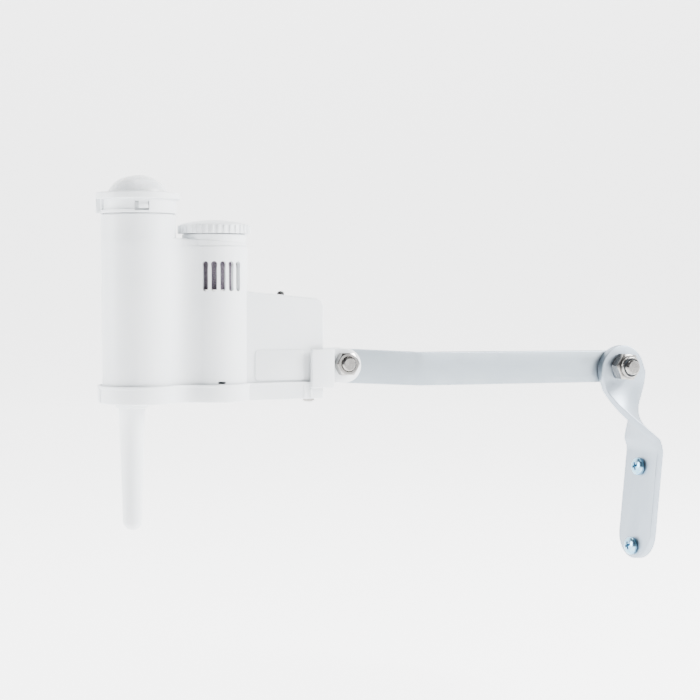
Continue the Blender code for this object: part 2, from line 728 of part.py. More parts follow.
def tray_shape(name, spread, low, high, finish=None):
    """The tray's outline, spread beyond the housing, between two heights."""
    shape = rod(name, TALL_RADIUS + spread, (0, 0, low), high - low, sensor, finish)
    end = BOX_END - TRAY_END_SHORT + GAP / 10
    web = WEB_HALF + spread
    box = BOX_HALF + spread
    return join(
        shape,
        rod(name + "_rain", RAIN_RADIUS + spread, (RAIN_X, 0, low), high - low, sensor),
        block(name + "_web", (0, -web, low), (RAIN_X, web, high), sensor),
        block(name + "_box", (RAIN_X, -box, low), (end, box, high), sensor),
    )


def make_tray():
    tray = tray_shape("base_tray", GAP + TRAY_SKIRT, 0, TRAY_HEIGHT, WHITE)
    join(tray, rod("hub", HUB_RADIUS, (ANTENNA_X, 0, -HUB_DROP), HUB_DROP + TRAY_FLOOR / 2, sensor))
    above = TRAY_HEIGHT + MM
    web = WEB_HALF + GAP
    box = BOX_HALF + GAP
    hub_hole = ANTENNA_TOP_RADIUS + GAP
    start = (ANTENNA_X, 0, -HUB_DROP - MM)
    through = HUB_DROP + TRAY_FLOOR + 2 * MM
    cut(
        tray,
        rod("tray_tall_room", TALL_RADIUS + GAP, (0, 0, TRAY_FLOOR), TRAY_HEIGHT, sensor),
        rod("tray_rain_room", RAIN_RADIUS + GAP, (RAIN_X, 0, TRAY_FLOOR), TRAY_HEIGHT, sensor),
        block("tray_web_room", (0, -web, TRAY_FLOOR), (RAIN_X, web, above), sensor),
        block("tray_end_room", (RAIN_X, -box, TRAY_FLOOR), (BOX_END + GAP, box, above), sensor),
        rod("hub_hole", hub_hole, start, through, sensor),
    )
    deep = TRAY_FLOOR + 2 * MM
    for number, (x, y) in enumerate(TRAY_SCREW_PLACES, 1):
        start = (x, y, -MM)
        cut(tray, rod(f"tray_hole_{number}", SMALL_HOLE, start, deep, sensor, sides=SMALL_SEGMENTS))
        pan_head_screw(
            f"tray_screw_{number}",
            SMALL_SCREW_HEAD,
            SMALL_SCREW_HEAD_HEIGHT,
            SMALL_SCREW_SHANK,
            SMALL_SCREW_LENGTH,
            sensor,
            STEEL,
            (x, y, -GAP),
            (math.pi, 0, 0),
        )
    smooth(tray)


def make_antenna():
    shoulder = TRAY_FLOOR + GAP
    top = shoulder + ANTENNA_FLANGE_HEIGHT
    tip = -ANTENNA_LENGTH
    nose = arc((0, tip + ANTENNA_TIP_RADIUS), ANTENNA_TIP_RADIUS, 0, -QUARTER, 5)
    bore_foot = tip + ANTENNA_TIP_WALL
    profile = [
        (0, bore_foot - ANTENNA_BORE),
        (ANTENNA_BORE, bore_foot),
        (ANTENNA_BORE, top),
        (ANTENNA_FLANGE, top),
        (ANTENNA_FLANGE, shoulder),
        (ANTENNA_TOP_RADIUS, shoulder),
        (ANTENNA_TOP_RADIUS, -HUB_DROP),
    ]
    profile += [(point.x, point.y) for point in nose[:-1]]
    profile.append((0, tip))
    turned("antenna_sleeve", profile, sensor, WHITE, (ANTENNA_X, 0, 0), steps=32)
    wire_foot = bore_foot + MM
    wire_length = top + 5 * MM - wire_foot
    start = (ANTENNA_X, 0, wire_foot)
    rod("antenna_wire", ANTENNA_WIRE_RADIUS, start, wire_length, sensor, BRASS, sides=SMALL_SEGMENTS)


# ---------------------------------------------------------------- lens


def dome_arc(radius, rise, base, steps=7):
    """A quarter ellipse from the crown down to the foot, as (radius, height)."""
    points = arc((0, 0), 1, QUARTER, 0, steps)
    return [(0, base + rise)] + [(radius * point.x, base + rise * point.y) for point in points[1:]]


def make_lens():
    foot_low = NECK_TOP + GAP + GASKET + GAP
    foot_high = foot_low + DOME_FOOT
    plate_low = foot_high + GAP
    skirt_low = TALL_TOP + GAP
    flange_low = FLANGE_TOP - FLANGE_HEIGHT
    skirt_bore = NECK_RADIUS + GAP
    opening = DOME_RADIUS + GAP
    edge = 0.4 * MM
    profile = [
        (opening, FLANGE_TOP),
        (FLANGE_RADIUS - edge, FLANGE_TOP),
        (FLANGE_RADIUS, FLANGE_TOP - edge),
        (FLANGE_RADIUS, flange_low),
        (RETAINER_SKIRT, flange_low),
        (RETAINER_SKIRT, skirt_low),
        (skirt_bore, skirt_low),
        (skirt_bore, plate_low),
        (opening, plate_low),
    ]
    retainer = turned("lens_retainer", profile, sensor, WHITE)
    tab_low = (RETAINER_SKIRT - 0.6 * MM, -SNAP_WINDOW / 2, skirt_low + 0.9 * MM)
    tab_high = (FLANGE_RADIUS - 0.1 * MM, SNAP_WINDOW / 2, flange_low + 0.2 * MM)
    join(retainer, around(block("retainer_tab", tab_low, tab_high, sensor), TAB_ANGLE))
    for number in range(SNAP_COUNT):
        low = (skirt_bore - MM, -SNAP_WINDOW / 2, skirt_low + SNAP_LOW)
        high = (RETAINER_SKIRT + MM, SNAP_WINDOW / 2, skirt_low + SNAP_HIGH)
        window = block(f"snap_window_{number + 1}", low, high, sensor)
        cut(retainer, around(window, SNAP_ANGLE + number * 2 * math.pi / SNAP_COUNT))
    smooth(retainer)

    foot_radius = NECK_RADIUS - GAP / 3
    crown = FLANGE_TOP + DOME_RISE
    outer = dome_arc(DOME_RADIUS, crown - foot_high, foot_high)
    inner = dome_arc(DOME_RADIUS - DOME_WALL, crown - DOME_WALL - foot_low, foot_low)
    profile = outer + [(foot_radius, foot_high), (foot_radius, foot_low)] + inner[::-1]
    turned("dome_lens", profile, sensor, LENS)
    seat = NECK_TOP + GAP
    ring = [(foot_radius, seat + GASKET), (foot_radius, seat), (NECK_BORE, seat), (NECK_BORE, seat + GASKET)]
    turned("lens_gasket", ring, sensor, GREY_RUBBER)


def make_solar_sensor():
    board_low = TALL_TOP + GAP
    board_radius = NECK_BORE - GAP
    rod("solar_board", board_radius, (0, 0, board_low), BOARD_THICKNESS, sensor, BOARD)
    diode_low = board_low + BOARD_THICKNESS + GAP
    rod("photodiode", DIODE_RADIUS, (0, 0, diode_low), DIODE_HEIGHT, sensor, BLACK, sides=24)


# ---------------------------------------------------------------- rain sensor


SLEEVE_RADIUS = RAIN_BORE - GAP
STACK_LOW = SEAT_Z + GAP + SPRING_HEIGHT + GAP + PLUNGER_PLATE + GAP
STACK_HIGH = STACK_LOW + DISC_COUNT * (DISC_THICKNESS + GAP)
CAP_LOW = RAIN_TOP + GAP
CAP_HIGH = CAP_LOW + CAP_SIDE


def make_rain_cap():
    """The cap, and under it the sleeve with wide windows that uncover or close the vent slots."""
    plug_radius = SLEEVE_BORE - GAP
    profile = [
        (0, CAP_HIGH + CAP_CROWN),
        (CAP_RADIUS * 0.45, CAP_HIGH + CAP_CROWN * 0.8),
        (CAP_RADIUS * 0.8, CAP_HIGH + CAP_CROWN * 0.3),
        (CAP_RADIUS - 0.4 * MM, CAP_HIGH),
        (CAP_RADIUS, CAP_HIGH - 0.4 * MM),
        (CAP_RADIUS, CAP_LOW),
        (plug_radius, CAP_LOW),
        (plug_radius, STACK_HIGH),
        (0, STACK_HIGH),
    ]
    smooth(turned("rain_cap", profile, rain_home, WHITE))
    low = SEAT_Z + GAP
    high = CAP_LOW - GAP
    profile = [(SLEEVE_RADIUS, high), (SLEEVE_RADIUS, low), (SLEEVE_BORE, low), (SLEEVE_BORE, high)]
    sleeve = turned("vent_sleeve", profile, rain_home, BLACK)
    room = 0.5 * MM
    for number in range(2):
        corner = (SLEEVE_BORE - 4 * MM, -SLEEVE_WINDOW / 2, VENT_LOW - room)
        far = (SLEEVE_RADIUS + MM, SLEEVE_WINDOW / 2, VENT_LOW + VENT_HEIGHT + room)
        window = block(f"sleeve_window_{number + 1}", corner, far, rain_home)
        cut(sleeve, around(window, VENT_CENTRE + number * math.pi))
    smooth(sleeve)


def make_discs():
    for index in range(DISC_COUNT):
        low = STACK_LOW + index * (DISC_THICKNESS + GAP)
        name = f"moisture_disc_{index + 1}"
        rod(name, DISC_RADIUS, (0, 0, low), DISC_THICKNESS, rain_home, FELT, sides=32)


def make_plunger():
    plate = STACK_LOW - GAP
    foot = LEVER_Z + LEVER_REACH * math.tan(LEVER_ANGLE) + LEVER_THICKNESS + 2 * GAP
    profile = [
        (0, plate),
        (DISC_RADIUS, plate),
        (DISC_RADIUS, plate - PLUNGER_PLATE),
        (PLUNGER_STEM, plate - PLUNGER_PLATE),
        (PLUNGER_STEM, foot + PLUNGER_STEM),
        (0, foot),
    ]
    turned("plunger", profile, rain_home, WHITE, steps=32)
    coil = bpy.data.curves.new("plunger_spring", "CURVE")
    coil.dimensions = "3D"
    coil.bevel_depth = SPRING_WIRE / 2
    coil.bevel_resolution = 1
    coil.use_fill_caps = True
    spline = coil.splines.new("POLY")
    steps = SPRING_TURNS * 14
    spline.points.add(steps)
    rise = SPRING_HEIGHT - SPRING_WIRE
    for step, point in enumerate(spline.points):
        angle = 2 * math.pi * SPRING_TURNS * step / steps
        height = SEAT_Z + GAP + SPRING_WIRE / 2 + rise * step / steps
        point.co = (SPRING_RADIUS * math.cos(angle), SPRING_RADIUS * math.sin(angle), height, 1)
    add("plunger_spring", coil, rain_home, STEEL)


def make_switch():
    """A microswitch whose leaf lies under the plunger's tip, and is flat once it is pressed."""
    hinge_x = -LEVER_REACH
    top = LEVER_Z - LEVER_THICKNESS - GAP
    low = Vector((hinge_x - SWITCH_BEHIND, -SWITCH_SIZE.y / 2, top - SWITCH_SIZE.z))
    high = low + SWITCH_SIZE
    block("microswitch", low, high, rain_home, BLACK)
    lever_home = empty("lever_axis", (hinge_x, 0, LEVER_Z), (0, -LEVER_ANGLE, 0), rain_home)
    half = LEVER_WIDTH / 2
    block("switch_lever", (0, -half, 0), (LEVER_LENGTH, half, LEVER_THICKNESS), lever_home, STEEL)


# ---------------------------------------------------------------- electronics


def make_electronics():
    inner = BOX_HALF - WALL
    board_low = TRAY_FLOOR + 3 * MM
    board_high = box_top_at(BUTTON_X) - 11 * MM
    board_start = RAIN_X + RAIN_RADIUS + 1.5 * MM
    board_end = BOX_END - WALL - 5 * MM
    face = inner - 1.2 * MM
    block(
        "transmitter_board",
        (board_start, face - BOARD_THICKNESS, board_low),
        (board_end, face, board_high),
        sensor,
        BOARD,
    )
    switch_top = box_top_at(BUTTON_X) - WALL - 3 * MM
    low = (BUTTON_X - TACTILE_HALF, -TACTILE_HALF, board_high + GAP)
    high = (BUTTON_X + TACTILE_HALF, face, switch_top)
    block("tactile_switch", low, high, sensor, BLACK)
    bead = face - BOARD_THICKNESS - GAP - THERMISTOR_RADIUS
    start = (board_end - 4 * MM, bead, board_low + 2 * MM)
    sides = SMALL_SEGMENTS
    rod("freeze_thermistor", THERMISTOR_RADIUS, start, THERMISTOR_LENGTH, sensor, BLACK, sides=sides)
    rod("battery", BATTERY_RADIUS, (0, 0, BATTERY_Z), BATTERY_LENGTH, sensor, CELL, sides=32)
    contact = BATTERY_RADIUS * 0.6
    lower = BATTERY_Z - GAP - CONTACT_THICKNESS
    upper = BATTERY_Z + BATTERY_LENGTH + GAP
    for name, low in (("lower_contact", lower), ("upper_contact", upper)):
        rod(name, contact, (0, 0, low), CONTACT_THICKNESS, sensor, BRASS, sides=24)


def make_button():
    """A rubber button: a domed top over the hole, and a collar inside that keeps it in."""
    top = box_top_at(BUTTON_X)
    under = top - WALL - 0.9 * MM
    nose = dome_arc(BUTTON_RADIUS, BUTTON_PROUD * 0.8, top + BUTTON_PROUD * 0.2, 5)
    collar = BUTTON_RADIUS + 0.8 * MM
    profile = nose + [
        (BUTTON_RADIUS, under),
        (collar, under),
        (collar, under - BUTTON_COLLAR),
        (0, under - BUTTON_COLLAR),
    ]
    turned("test_button", profile, button_home, RUBBER, steps=FINE_SEGMENTS)


# ---------------------------------------------------------------- yoke and clevis


def make_yoke():
    """A clip round the end of the box, with two ears that take the arm between them."""
    inside = BOX_HALF + GAP + TRAY_SKIRT + GAP
    outside = inside + YOKE_CHEEK
    web = BOX_END + GAP
    slot = ARM_THICKNESS / 2 + GAP
    ear = slot + EAR_THICKNESS
    high = (YOKE_CHEEK_END, outside, YOKE_HIGH)
    yoke = block("mounting_yoke", (web, -outside, YOKE_LOW), high, sensor, WHITE)
    for side in (-1, 1):
        near = sorted((side * inside, side * outside))
        low = (YOKE_CHEEK_START, near[0], YOKE_LOW)
        high = (YOKE_CHEEK_END, near[1], YOKE_HIGH)
        join(yoke, block(f"cheek_{side}", low, high, sensor))
        centre = Vector((CLEVIS_X + EAR_BEYOND, CLEVIS_Z - EAR_DROP))
        root = YOKE_CHEEK_END - EAR_OVERLAP
        plan = arc(centre, EAR_RADIUS, -QUARTER, QUARTER, 14)
        plan.append(Vector((root, centre.y + EAR_RADIUS)))
        plan.append(Vector((root, centre.y - EAR_RADIUS)))
        mesh = outline_mesh(f"ear_{side}", [plan], EAR_THICKNESS)
        join(yoke, add(f"ear_{side}", mesh, sensor, None, (0, side * (slot + ear) / 2, 0), ALONG_Y))
    reach = ARM_WIDTH / 2 + CLEVIS_HOLE_RISE + ARM_END_ROOM
    beyond = CLEVIS_X + EAR_BEYOND + EAR_RADIUS + MM
    low = (CLEVIS_X - reach, -slot, YOKE_LOW - MM)
    notch = block("arm_slot", low, (beyond, slot, YOKE_HIGH + MM), sensor)
    start = (CLEVIS_X, outside, CLEVIS_Z)
    bolt_hole = rod("clevis_hole", CLEVIS_HOLE, start, 2 * outside, sensor, rotation=ALONG_Y, sides=24)
    start = (YOKE_SCREW_X, outside + MM, YOKE_SCREW_Z)
    length = YOKE_CHEEK + 2 * MM
    screw_hole = rod("yoke_hole", SMALL_HOLE, start, length, sensor, rotation=ALONG_Y, sides=SMALL_SEGMENTS)
    cut(yoke, notch, bolt_hole, screw_hole)
    smooth(yoke)
    pan_head_screw(
        "yoke_screw",
        SMALL_SCREW_HEAD,
        SMALL_SCREW_HEAD_HEIGHT,
        SMALL_SCREW_SHANK,
        outside - BOX_HALF + WALL + GAP,
        sensor,
        STEEL,
        (YOKE_SCREW_X, outside + GAP, YOKE_SCREW_Z),
        (-QUARTER, 0, 0),
    )


def make_clevis_fasteners():
    ear_face = ARM_THICKNESS / 2 + GAP + EAR_THICKNESS
    seat = Vector((CLEVIS_X, ear_face + GAP, CLEVIS_Z))
    length = 2 * (ear_face + GAP) + CLEVIS_NUT + CLEVIS_STICKS_OUT
    hex_bolt("clevis_bolt", CLEVIS_FLATS, CLEVIS_HEAD, CLEVIS_SHANK, length, sensor, STEEL, seat, ALONG_Y)
    nut_start = Vector((CLEVIS_X, -ear_face - GAP, CLEVIS_Z))
    hex_nut("clevis_nut", CLEVIS_FLATS, CLEVIS_NUT, CLEVIS_SHANK + GAP / 2, sensor, STEEL, nut_start, ALONG_Y)


# ---------------------------------------------------------------- build

make_bracket()
make_wall_fasteners()
make_pivot_fasteners()
make_arm()
make_housing()
make_tray()
make_antenna()
make_lens()
make_solar_sensor()
make_rain_cap()
make_discs()
make_plunger()
make_switch()
make_electronics()
make_button()
make_yoke()
make_clevis_fasteners()
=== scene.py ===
# %% [markdown]
# # A wireless weather sensor on a wall bracket
# This file dresses a finished engineering model. The model gives the place and size of every piece, and the
# file gives each one its final shape and finish: moulded white plastic, satin aluminium, plated steel.
# The scene is in metres, +Z is up, and the wall is on the +X side.

# %% Load the engineering model
import json
import math

import bmesh
import bpy
from mathutils import Matrix, Vector

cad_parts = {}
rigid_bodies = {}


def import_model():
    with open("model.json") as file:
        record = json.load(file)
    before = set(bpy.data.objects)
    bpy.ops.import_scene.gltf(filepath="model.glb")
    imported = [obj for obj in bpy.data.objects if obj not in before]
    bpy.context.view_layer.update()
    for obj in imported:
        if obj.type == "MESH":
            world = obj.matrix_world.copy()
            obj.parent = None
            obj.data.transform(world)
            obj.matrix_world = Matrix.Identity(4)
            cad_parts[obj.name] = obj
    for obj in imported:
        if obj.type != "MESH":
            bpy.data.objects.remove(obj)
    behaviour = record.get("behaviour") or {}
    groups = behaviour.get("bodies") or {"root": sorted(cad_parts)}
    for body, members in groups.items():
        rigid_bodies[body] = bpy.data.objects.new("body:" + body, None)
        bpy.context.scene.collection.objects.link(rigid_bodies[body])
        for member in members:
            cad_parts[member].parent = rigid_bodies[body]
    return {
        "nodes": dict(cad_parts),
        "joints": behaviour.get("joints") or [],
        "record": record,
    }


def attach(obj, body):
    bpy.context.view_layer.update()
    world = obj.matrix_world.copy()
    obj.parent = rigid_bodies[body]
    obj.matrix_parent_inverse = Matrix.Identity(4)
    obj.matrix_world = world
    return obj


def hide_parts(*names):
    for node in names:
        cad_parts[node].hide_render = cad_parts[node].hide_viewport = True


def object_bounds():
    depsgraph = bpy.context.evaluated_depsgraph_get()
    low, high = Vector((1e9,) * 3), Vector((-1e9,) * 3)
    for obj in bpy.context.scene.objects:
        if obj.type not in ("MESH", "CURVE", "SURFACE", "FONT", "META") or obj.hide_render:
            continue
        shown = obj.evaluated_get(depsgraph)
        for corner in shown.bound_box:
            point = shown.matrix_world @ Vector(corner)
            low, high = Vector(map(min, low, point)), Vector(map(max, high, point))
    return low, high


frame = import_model()
cad_box = [list(corner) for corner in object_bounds()]
joints = {joint["name"]: joint for joint in frame["joints"]}
print("joints:", ", ".join(joints))

# %% [markdown]
# Everything below is sized in millimetres, so one constant turns them into metres. The sensor head is turned
# a few degrees from the wall. Its pieces are easiest to make in a frame of their own, with X along the row of
# tubes, so these cells find that frame from the joints and from the lens, which is round and sits on the tall
# tube's axis. The bracket has its own frame too, which leans with its plate.

# %% Frames of the head, the arm and the bracket
MM = 0.001
QUARTER = math.pi / 2


def nodes_in(home, *names):
    """The lowest and highest corner of some engineering nodes, in another frame."""
    back = home.inverted()
    points = [back @ vert.co for name in names for vert in frame["nodes"][name].data.vertices]
    low = Vector([min(point[axis] for point in points) for axis in range(3)])
    return low, Vector([max(point[axis] for point in points) for axis in range(3)])


def home_of(origin, across, up=Vector((0, 0, 1))):
    """A frame from its origin, its Y axis and its Z axis."""
    along = across.cross(up).normalized()
    return Matrix.Translation(origin) @ Matrix((along, across, up)).transposed().to_4x4()


HUB_DROP = 2.0 * MM  # the hub stands this far below the tray
clevis = Vector(joints["head_tilt"]["pos_m"])
clevis_axis = Vector(joints["head_tilt"]["axis"]).normalized()
loose_home = home_of(clevis, clevis_axis)
lens_low, lens_high = nodes_in(loose_home, "dome_lens")
tray_low, tray_high = nodes_in(loose_home, "base_tray")
lens_x = (lens_low.x + lens_high.x) / 2
HEAD = home_of(loose_home @ Vector((lens_x, 0, tray_low.z + HUB_DROP)), clevis_axis)
vent_axis = HEAD.inverted() @ Vector(joints["vent_cap_turn"]["pos_m"])
CAP = HEAD @ Matrix.Translation((vent_axis.x, 0, 0))

pivot = Vector(joints["arm_swing"]["pos_m"])
mount = frame["record"]["mounts"][0]
wall_normal = Vector(mount["axis"]).normalized()
BRACKET = home_of(Vector(mount["pos_m"]), Vector((0, 1, 0)), wall_normal.cross(Vector((0, 1, 0))))
print("head datum at", [round(value / MM, 2) for value in HEAD.translation], "mm")

# %% [markdown]
# The camera stands in front of the sensor and to its left, a little above it, and looks along the wall. It is
# placed from the clevis bolt that joins the sensor to its arm.

# %% Camera
VIEW_TURN = math.radians(26)
VIEW_DROP = math.radians(2.48)
VIEW_BACK = 553.9 * MM
VIEW_RIGHT = 4.0 * MM
VIEW_RISE = 28.8 * MM
LENS_LENGTH = 77.1
SENSOR_WIDTH = 36.0
NEAREST = 10.0 * MM
view_along = Vector((math.sin(VIEW_TURN), math.cos(VIEW_TURN), 0))
view_right = Vector((math.cos(VIEW_TURN), -math.sin(VIEW_TURN), 0))
camera = bpy.data.objects.new("camera", bpy.data.cameras.new("camera"))
camera.location = clevis - VIEW_BACK * view_along + VIEW_RIGHT * view_right + Vector((0, 0, VIEW_RISE))
camera.rotation_euler = (QUARTER - VIEW_DROP, 0, -VIEW_TURN)
camera.data.lens = LENS_LENGTH
camera.data.sensor_width = SENSOR_WIDTH
camera.data.clip_start = NEAREST
bpy.context.scene.collection.objects.link(camera)
bpy.context.scene.camera = camera
print("camera at", [round(value / MM) for value in camera.location], "mm")

# %% [markdown]
# The studio is one pale sheet that runs level under the object and curves up behind it, as a paper roll does
# in a studio. It is lit from behind, so it glows and the object stands against white. Large soft lamps stand
# around it: a strong one on the right, a weaker one on the left so that the round tubes keep some shade, and
# one high up behind.

# %% Studio sheet and soft lamps
FLOOR_DROP = 60.0 * MM  # the sensor hangs from its bracket, clear of the floor
SHEET_FRONT = 8.0
SHEET_BACK = 1.5
SHEET_CURVE = 0.9
SHEET_HALF = 8.0
SHEET_RISE = 4.0
SHEET_GLOW = 2.6
ROOM_GLOW = 0.25
LAMP_AWAY = 1.0
object_low, object_high = (Vector(corner) for corner in cad_box)
middle = (object_low + object_high) / 2


def linear(hex_colour):
    """An sRGB hex colour as the linear values that Blender's sockets take."""
    shares = [int(hex_colour[start : start + 2], 16) / 255 for start in (1, 3, 5)]
    return tuple(share / 12.92 if share <= 0.04045 else ((share + 0.055) / 1.055) ** 2.4 for share in shares)


def add_node(tree, kind, settings=None, **links):
    """A node with its settings; each link is a socket to read, or a constant for the input of that name."""
    node = tree.nodes.new(kind)
    for name, value in (settings or {}).items():
        setattr(node, name, value)
    for name, value in links.items():
        socket = node.inputs[int(name[1:])] if name[1:].isdigit() else node.inputs[name.replace("_", " ")]
        if isinstance(value, bpy.types.NodeSocket):
            tree.links.new(value, socket)
        else:
            socket.default_value = value
    return node


def painted(name, colour, roughness, metallic=0.0):
    """A new material with its tree and its shader."""
    made = bpy.data.materials.new(name)
    made.use_nodes = True
    shader = made.node_tree.nodes["Principled BSDF"]
    shader.inputs["Base Color"].default_value = (*linear(colour), 1)
    shader.inputs["Roughness"].default_value = roughness
    shader.inputs["Metallic"].default_value = metallic
    return made, made.node_tree, shader


def make_studio():
    floor = object_low.z - FLOOR_DROP
    steps = 24
    curve = [
        (SHEET_BACK + SHEET_CURVE * math.sin(a), floor + SHEET_CURVE * (1 - math.cos(a)))
        for a in (QUARTER * step / steps for step in range(steps + 1))
    ]
    run = [(-SHEET_FRONT, floor)] + curve + [(SHEET_BACK + SHEET_CURVE, floor + SHEET_RISE)]
    bm = bmesh.new()
    rows = []
    for away, height in run:
        centre = middle + away * view_along
        ends = (centre - SHEET_HALF * view_right, centre + SHEET_HALF * view_right)
        rows.append([bm.verts.new((end.x, end.y, height)) for end in ends])
    for near, far in zip(rows, rows[1:]):
        bm.faces.new((near[0], near[1], far[1], far[0]))
    mesh = bpy.data.meshes.new("studio_sheet")
    bm.to_mesh(mesh)
    bm.free()
    mesh.shade_smooth()
    paper, _, shader = painted("backlit_studio_paper", "#FAFAFA", 0.9)
    shader.inputs["Emission Color"].default_value = (1, 1, 1, 1)
    shader.inputs["Emission Strength"].default_value = SHEET_GLOW
    mesh.materials.append(paper)
    sheet = bpy.data.objects.new("studio_sheet", mesh)
    bpy.context.scene.collection.objects.link(sheet)


def lamp(name, turn, rise, away, size, watts):
    """A square soft lamp that faces the object, at an angle left of the view and one above level."""
    data = bpy.data.lights.new(name, "AREA")
    data.shape = "SQUARE"
    data.size = size
    data.energy = watts
    heading = -view_along * math.cos(turn) - view_right * math.sin(turn)
    place = middle + away * (heading * math.cos(rise) + Vector((0, 0, math.sin(rise))))
    made = bpy.data.objects.new(name, data)
    made.location = place
    made.rotation_euler = (middle - place).to_track_quat("-Z", "Y").to_euler()
    bpy.context.scene.collection.objects.link(made)


make_studio()
lamp("right_lamp", math.radians(-80), math.radians(30), LAMP_AWAY, 0.5, 36)
lamp("left_lamp", math.radians(80), math.radians(12), LAMP_AWAY, 0.5, 15)
lamp("top_lamp", math.radians(180), math.radians(78), 1.1 * LAMP_AWAY, 0.6, 9)
world = bpy.data.worlds.new("studio_light")
world.use_nodes = True
world.node_tree.nodes["Background"].inputs["Color"].default_value = (*linear("#F6F9FF"), 1)
world.node_tree.nodes["Background"].inputs["Strength"].default_value = ROOM_GLOW
bpy.context.scene.world = world

# %% [markdown]
# The head is moulded in ABS. A spark-eroded mould leaves a very fine grain on it, which scatters light like
# satin, and the plastic flows a little unevenly, so its tone drifts by a hair over some centimetres. The
# grain is really some 0.05 mm across. It is drawn at 0.25 mm here, the finest that shows.

# %% Moulded ABS
GRAIN = 0.25 * MM
FLOW = 18.0 * MM
WHITE_ABS = "#E3E6E8"


def object_place(tree):
    return add_node(tree, "ShaderNodeTexCoord").outputs["Object"]


def drifting(tree, place, size, low, high, detail=3.0):
    """A soft pattern of about that size, between two values."""
    noise = add_node(tree, "ShaderNodeTexNoise", Vector=place, Scale=1 / size, Detail=detail)
    return add_node(
        tree,
        "ShaderNodeMapRange",
        Value=noise.outputs["Fac"],
        From_Min=0.3,
        From_Max=0.7,
        To_Min=low,
        To_Max=high,
    ).outputs["Result"]


def tinted(tree, share, first, second):
    """A colour between two hex colours."""
    mix = add_node(tree, "ShaderNodeMix", {"data_type": "RGBA"}, i0=share)
    mix.inputs[6].default_value = (*linear(first), 1)
    mix.inputs[7].default_value = (*linear(second), 1)
    return mix.outputs[2]


def bumped(tree, shader, height, depth, strength=1.0):
    bump = add_node(tree, "ShaderNodeBump", Height=height, Distance=depth, Strength=strength)
    tree.links.new(bump.outputs["Normal"], shader.inputs["Normal"])


def grained(name, colour, tones, roughness, drift, grain, depth, strength, detail=2.0, metallic=0.0):
    """A finish whose colour drifts between two tones, and whose surface carries a fine grain of bumps."""
    made, tree, shader = painted(name, colour, roughness, metallic)
    place_here = object_place(tree)
    tone = drifting(tree, place_here, drift, 0.0, 1.0)
    tree.links.new(tinted(tree, tone, *tones), shader.inputs["Base Color"])
    bumps = add_node(tree, "ShaderNodeTexNoise", Vector=place_here, Scale=1 / grain, Detail=detail)
    bumped(tree, shader, bumps.outputs["Fac"], depth, strength)
    return made, tree, shader, place_here


def moulded_abs(name, light, dark, roughness=0.42):
    tones = (light, dark)
    made, tree, shader, place_here = grained(name, light, tones, roughness, FLOW, GRAIN, 0.02 * MM, 0.5)
    sheen = drifting(tree, place_here, FLOW / 3, roughness - 0.05, roughness + 0.06)
    tree.links.new(sheen, shader.inputs["Roughness"])
    shader.inputs["Subsurface Weight"].default_value = 0.06
    shader.inputs["Subsurface Radius"].default_value = (1.2 * MM, 1.2 * MM, 1.3 * MM)
    shader.inputs["Subsurface Scale"].default_value = 1.0
    shader.inputs["IOR"].default_value = 1.52
    return made


white_abs = moulded_abs("spark_finished_white_abs", WHITE_ABS, "#DDE1E4")
black_abs = moulded_abs("moulded_black_abs", "#1B1C1E", "#141517", 0.5)
print("moulded plastics:", white_abs.name, black_abs.name)

# %% [markdown]
# Most pieces here start as one of three simple things, as they do in a workshop: a profile turned about an
# axis, an outline with a thickness, or a shape repeated round a circle. Each is made in the frame of the part
# it belongs to, its edges are softened, and then its mesh is carried to its place in one step.

# %% Helpers: turn, thicken, soften, cut and place
drafts = bpy.data.collections.new("drafts")
bpy.context.scene.collection.children.link(drafts)
ROUND = 128  # steps round a large tube
MIDDLE_ROUND = 96
SMALL_ROUND = 64
HOLE_ROUND = 32


def arc(centre, radius, start, end, count):
    """Points on an arc, from one angle to another."""
    angles = [start + (end - start) * step / count for step in range(count + 1)]
    return [(centre[0] + radius * math.cos(a), centre[1] + radius * math.sin(a)) for a in angles]


def draft(name, bm, turn=None):
    """A working shape. A turn places it in its own frame."""
    bmesh.ops.recalc_face_normals(bm, faces=bm.faces)
    mesh = bpy.data.meshes.new(name)
    bm.to_mesh(mesh)
    bm.free()
    if turn:
        mesh.transform(turn)
    made = bpy.data.objects.new(name, mesh)
    drafts.objects.link(made)
    return made


def turned(name, profile, steps=ROUND, turn=None):
    """A closed profile of (radius, height) points, turned about Z."""
    bm = bmesh.new()
    verts = [bm.verts.new((radius, 0, height)) for radius, height in profile]
    pairs = list(zip(verts, verts[1:]))
    if profile[0][0] > 0 or profile[-1][0] > 0:
        pairs.append((verts[-1], verts[0]))
    edges = [bm.edges.new(pair) for pair in pairs]
    bmesh.ops.spin(
        bm, geom=verts + edges, cent=(0, 0, 0), axis=(0, 0, 1), angle=2 * math.pi, steps=steps, use_merge=True
    )
    bmesh.ops.remove_doubles(bm, verts=bm.verts, dist=MM / 1000)
    return draft(name, bm, turn)


def slab(name, outline, low, high, turn=None, top=None):
    """An outline in X and Y between two heights. A second outline gives the top another size."""
    bm = bmesh.new()
    under = [bm.verts.new((x, y, low)) for x, y in outline]
    over = [bm.verts.new((x, y, high)) for x, y in top or outline]
    bm.faces.new(under)
    bm.faces.new(over)
    for index in range(len(under)):
        following = (index + 1) % len(under)
        bm.faces.new((under[index], under[following], over[following], over[index]))
    return draft(name, bm, turn)


def box_outline(low, high, corner=0.0, steps=6):
    """A rectangle in X and Y, with round corners."""
    if not corner:
        return [low, (high[0], low[1]), high, (low[0], high[1])]
    centres = [
        (high[0] - corner, high[1] - corner),
        (low[0] + corner, high[1] - corner),
        (low[0] + corner, low[1] + corner),
        (high[0] - corner, low[1] + corner),
    ]
    points = []
    for index, centre in enumerate(centres):
        points += arc(centre, corner, QUARTER * index, QUARTER * (index + 1), steps)
    return points


def box(name, low, high, corner=0.0, turn=None):
    return slab(name, box_outline(low[:2], high[:2], corner), low[2], high[2], turn)


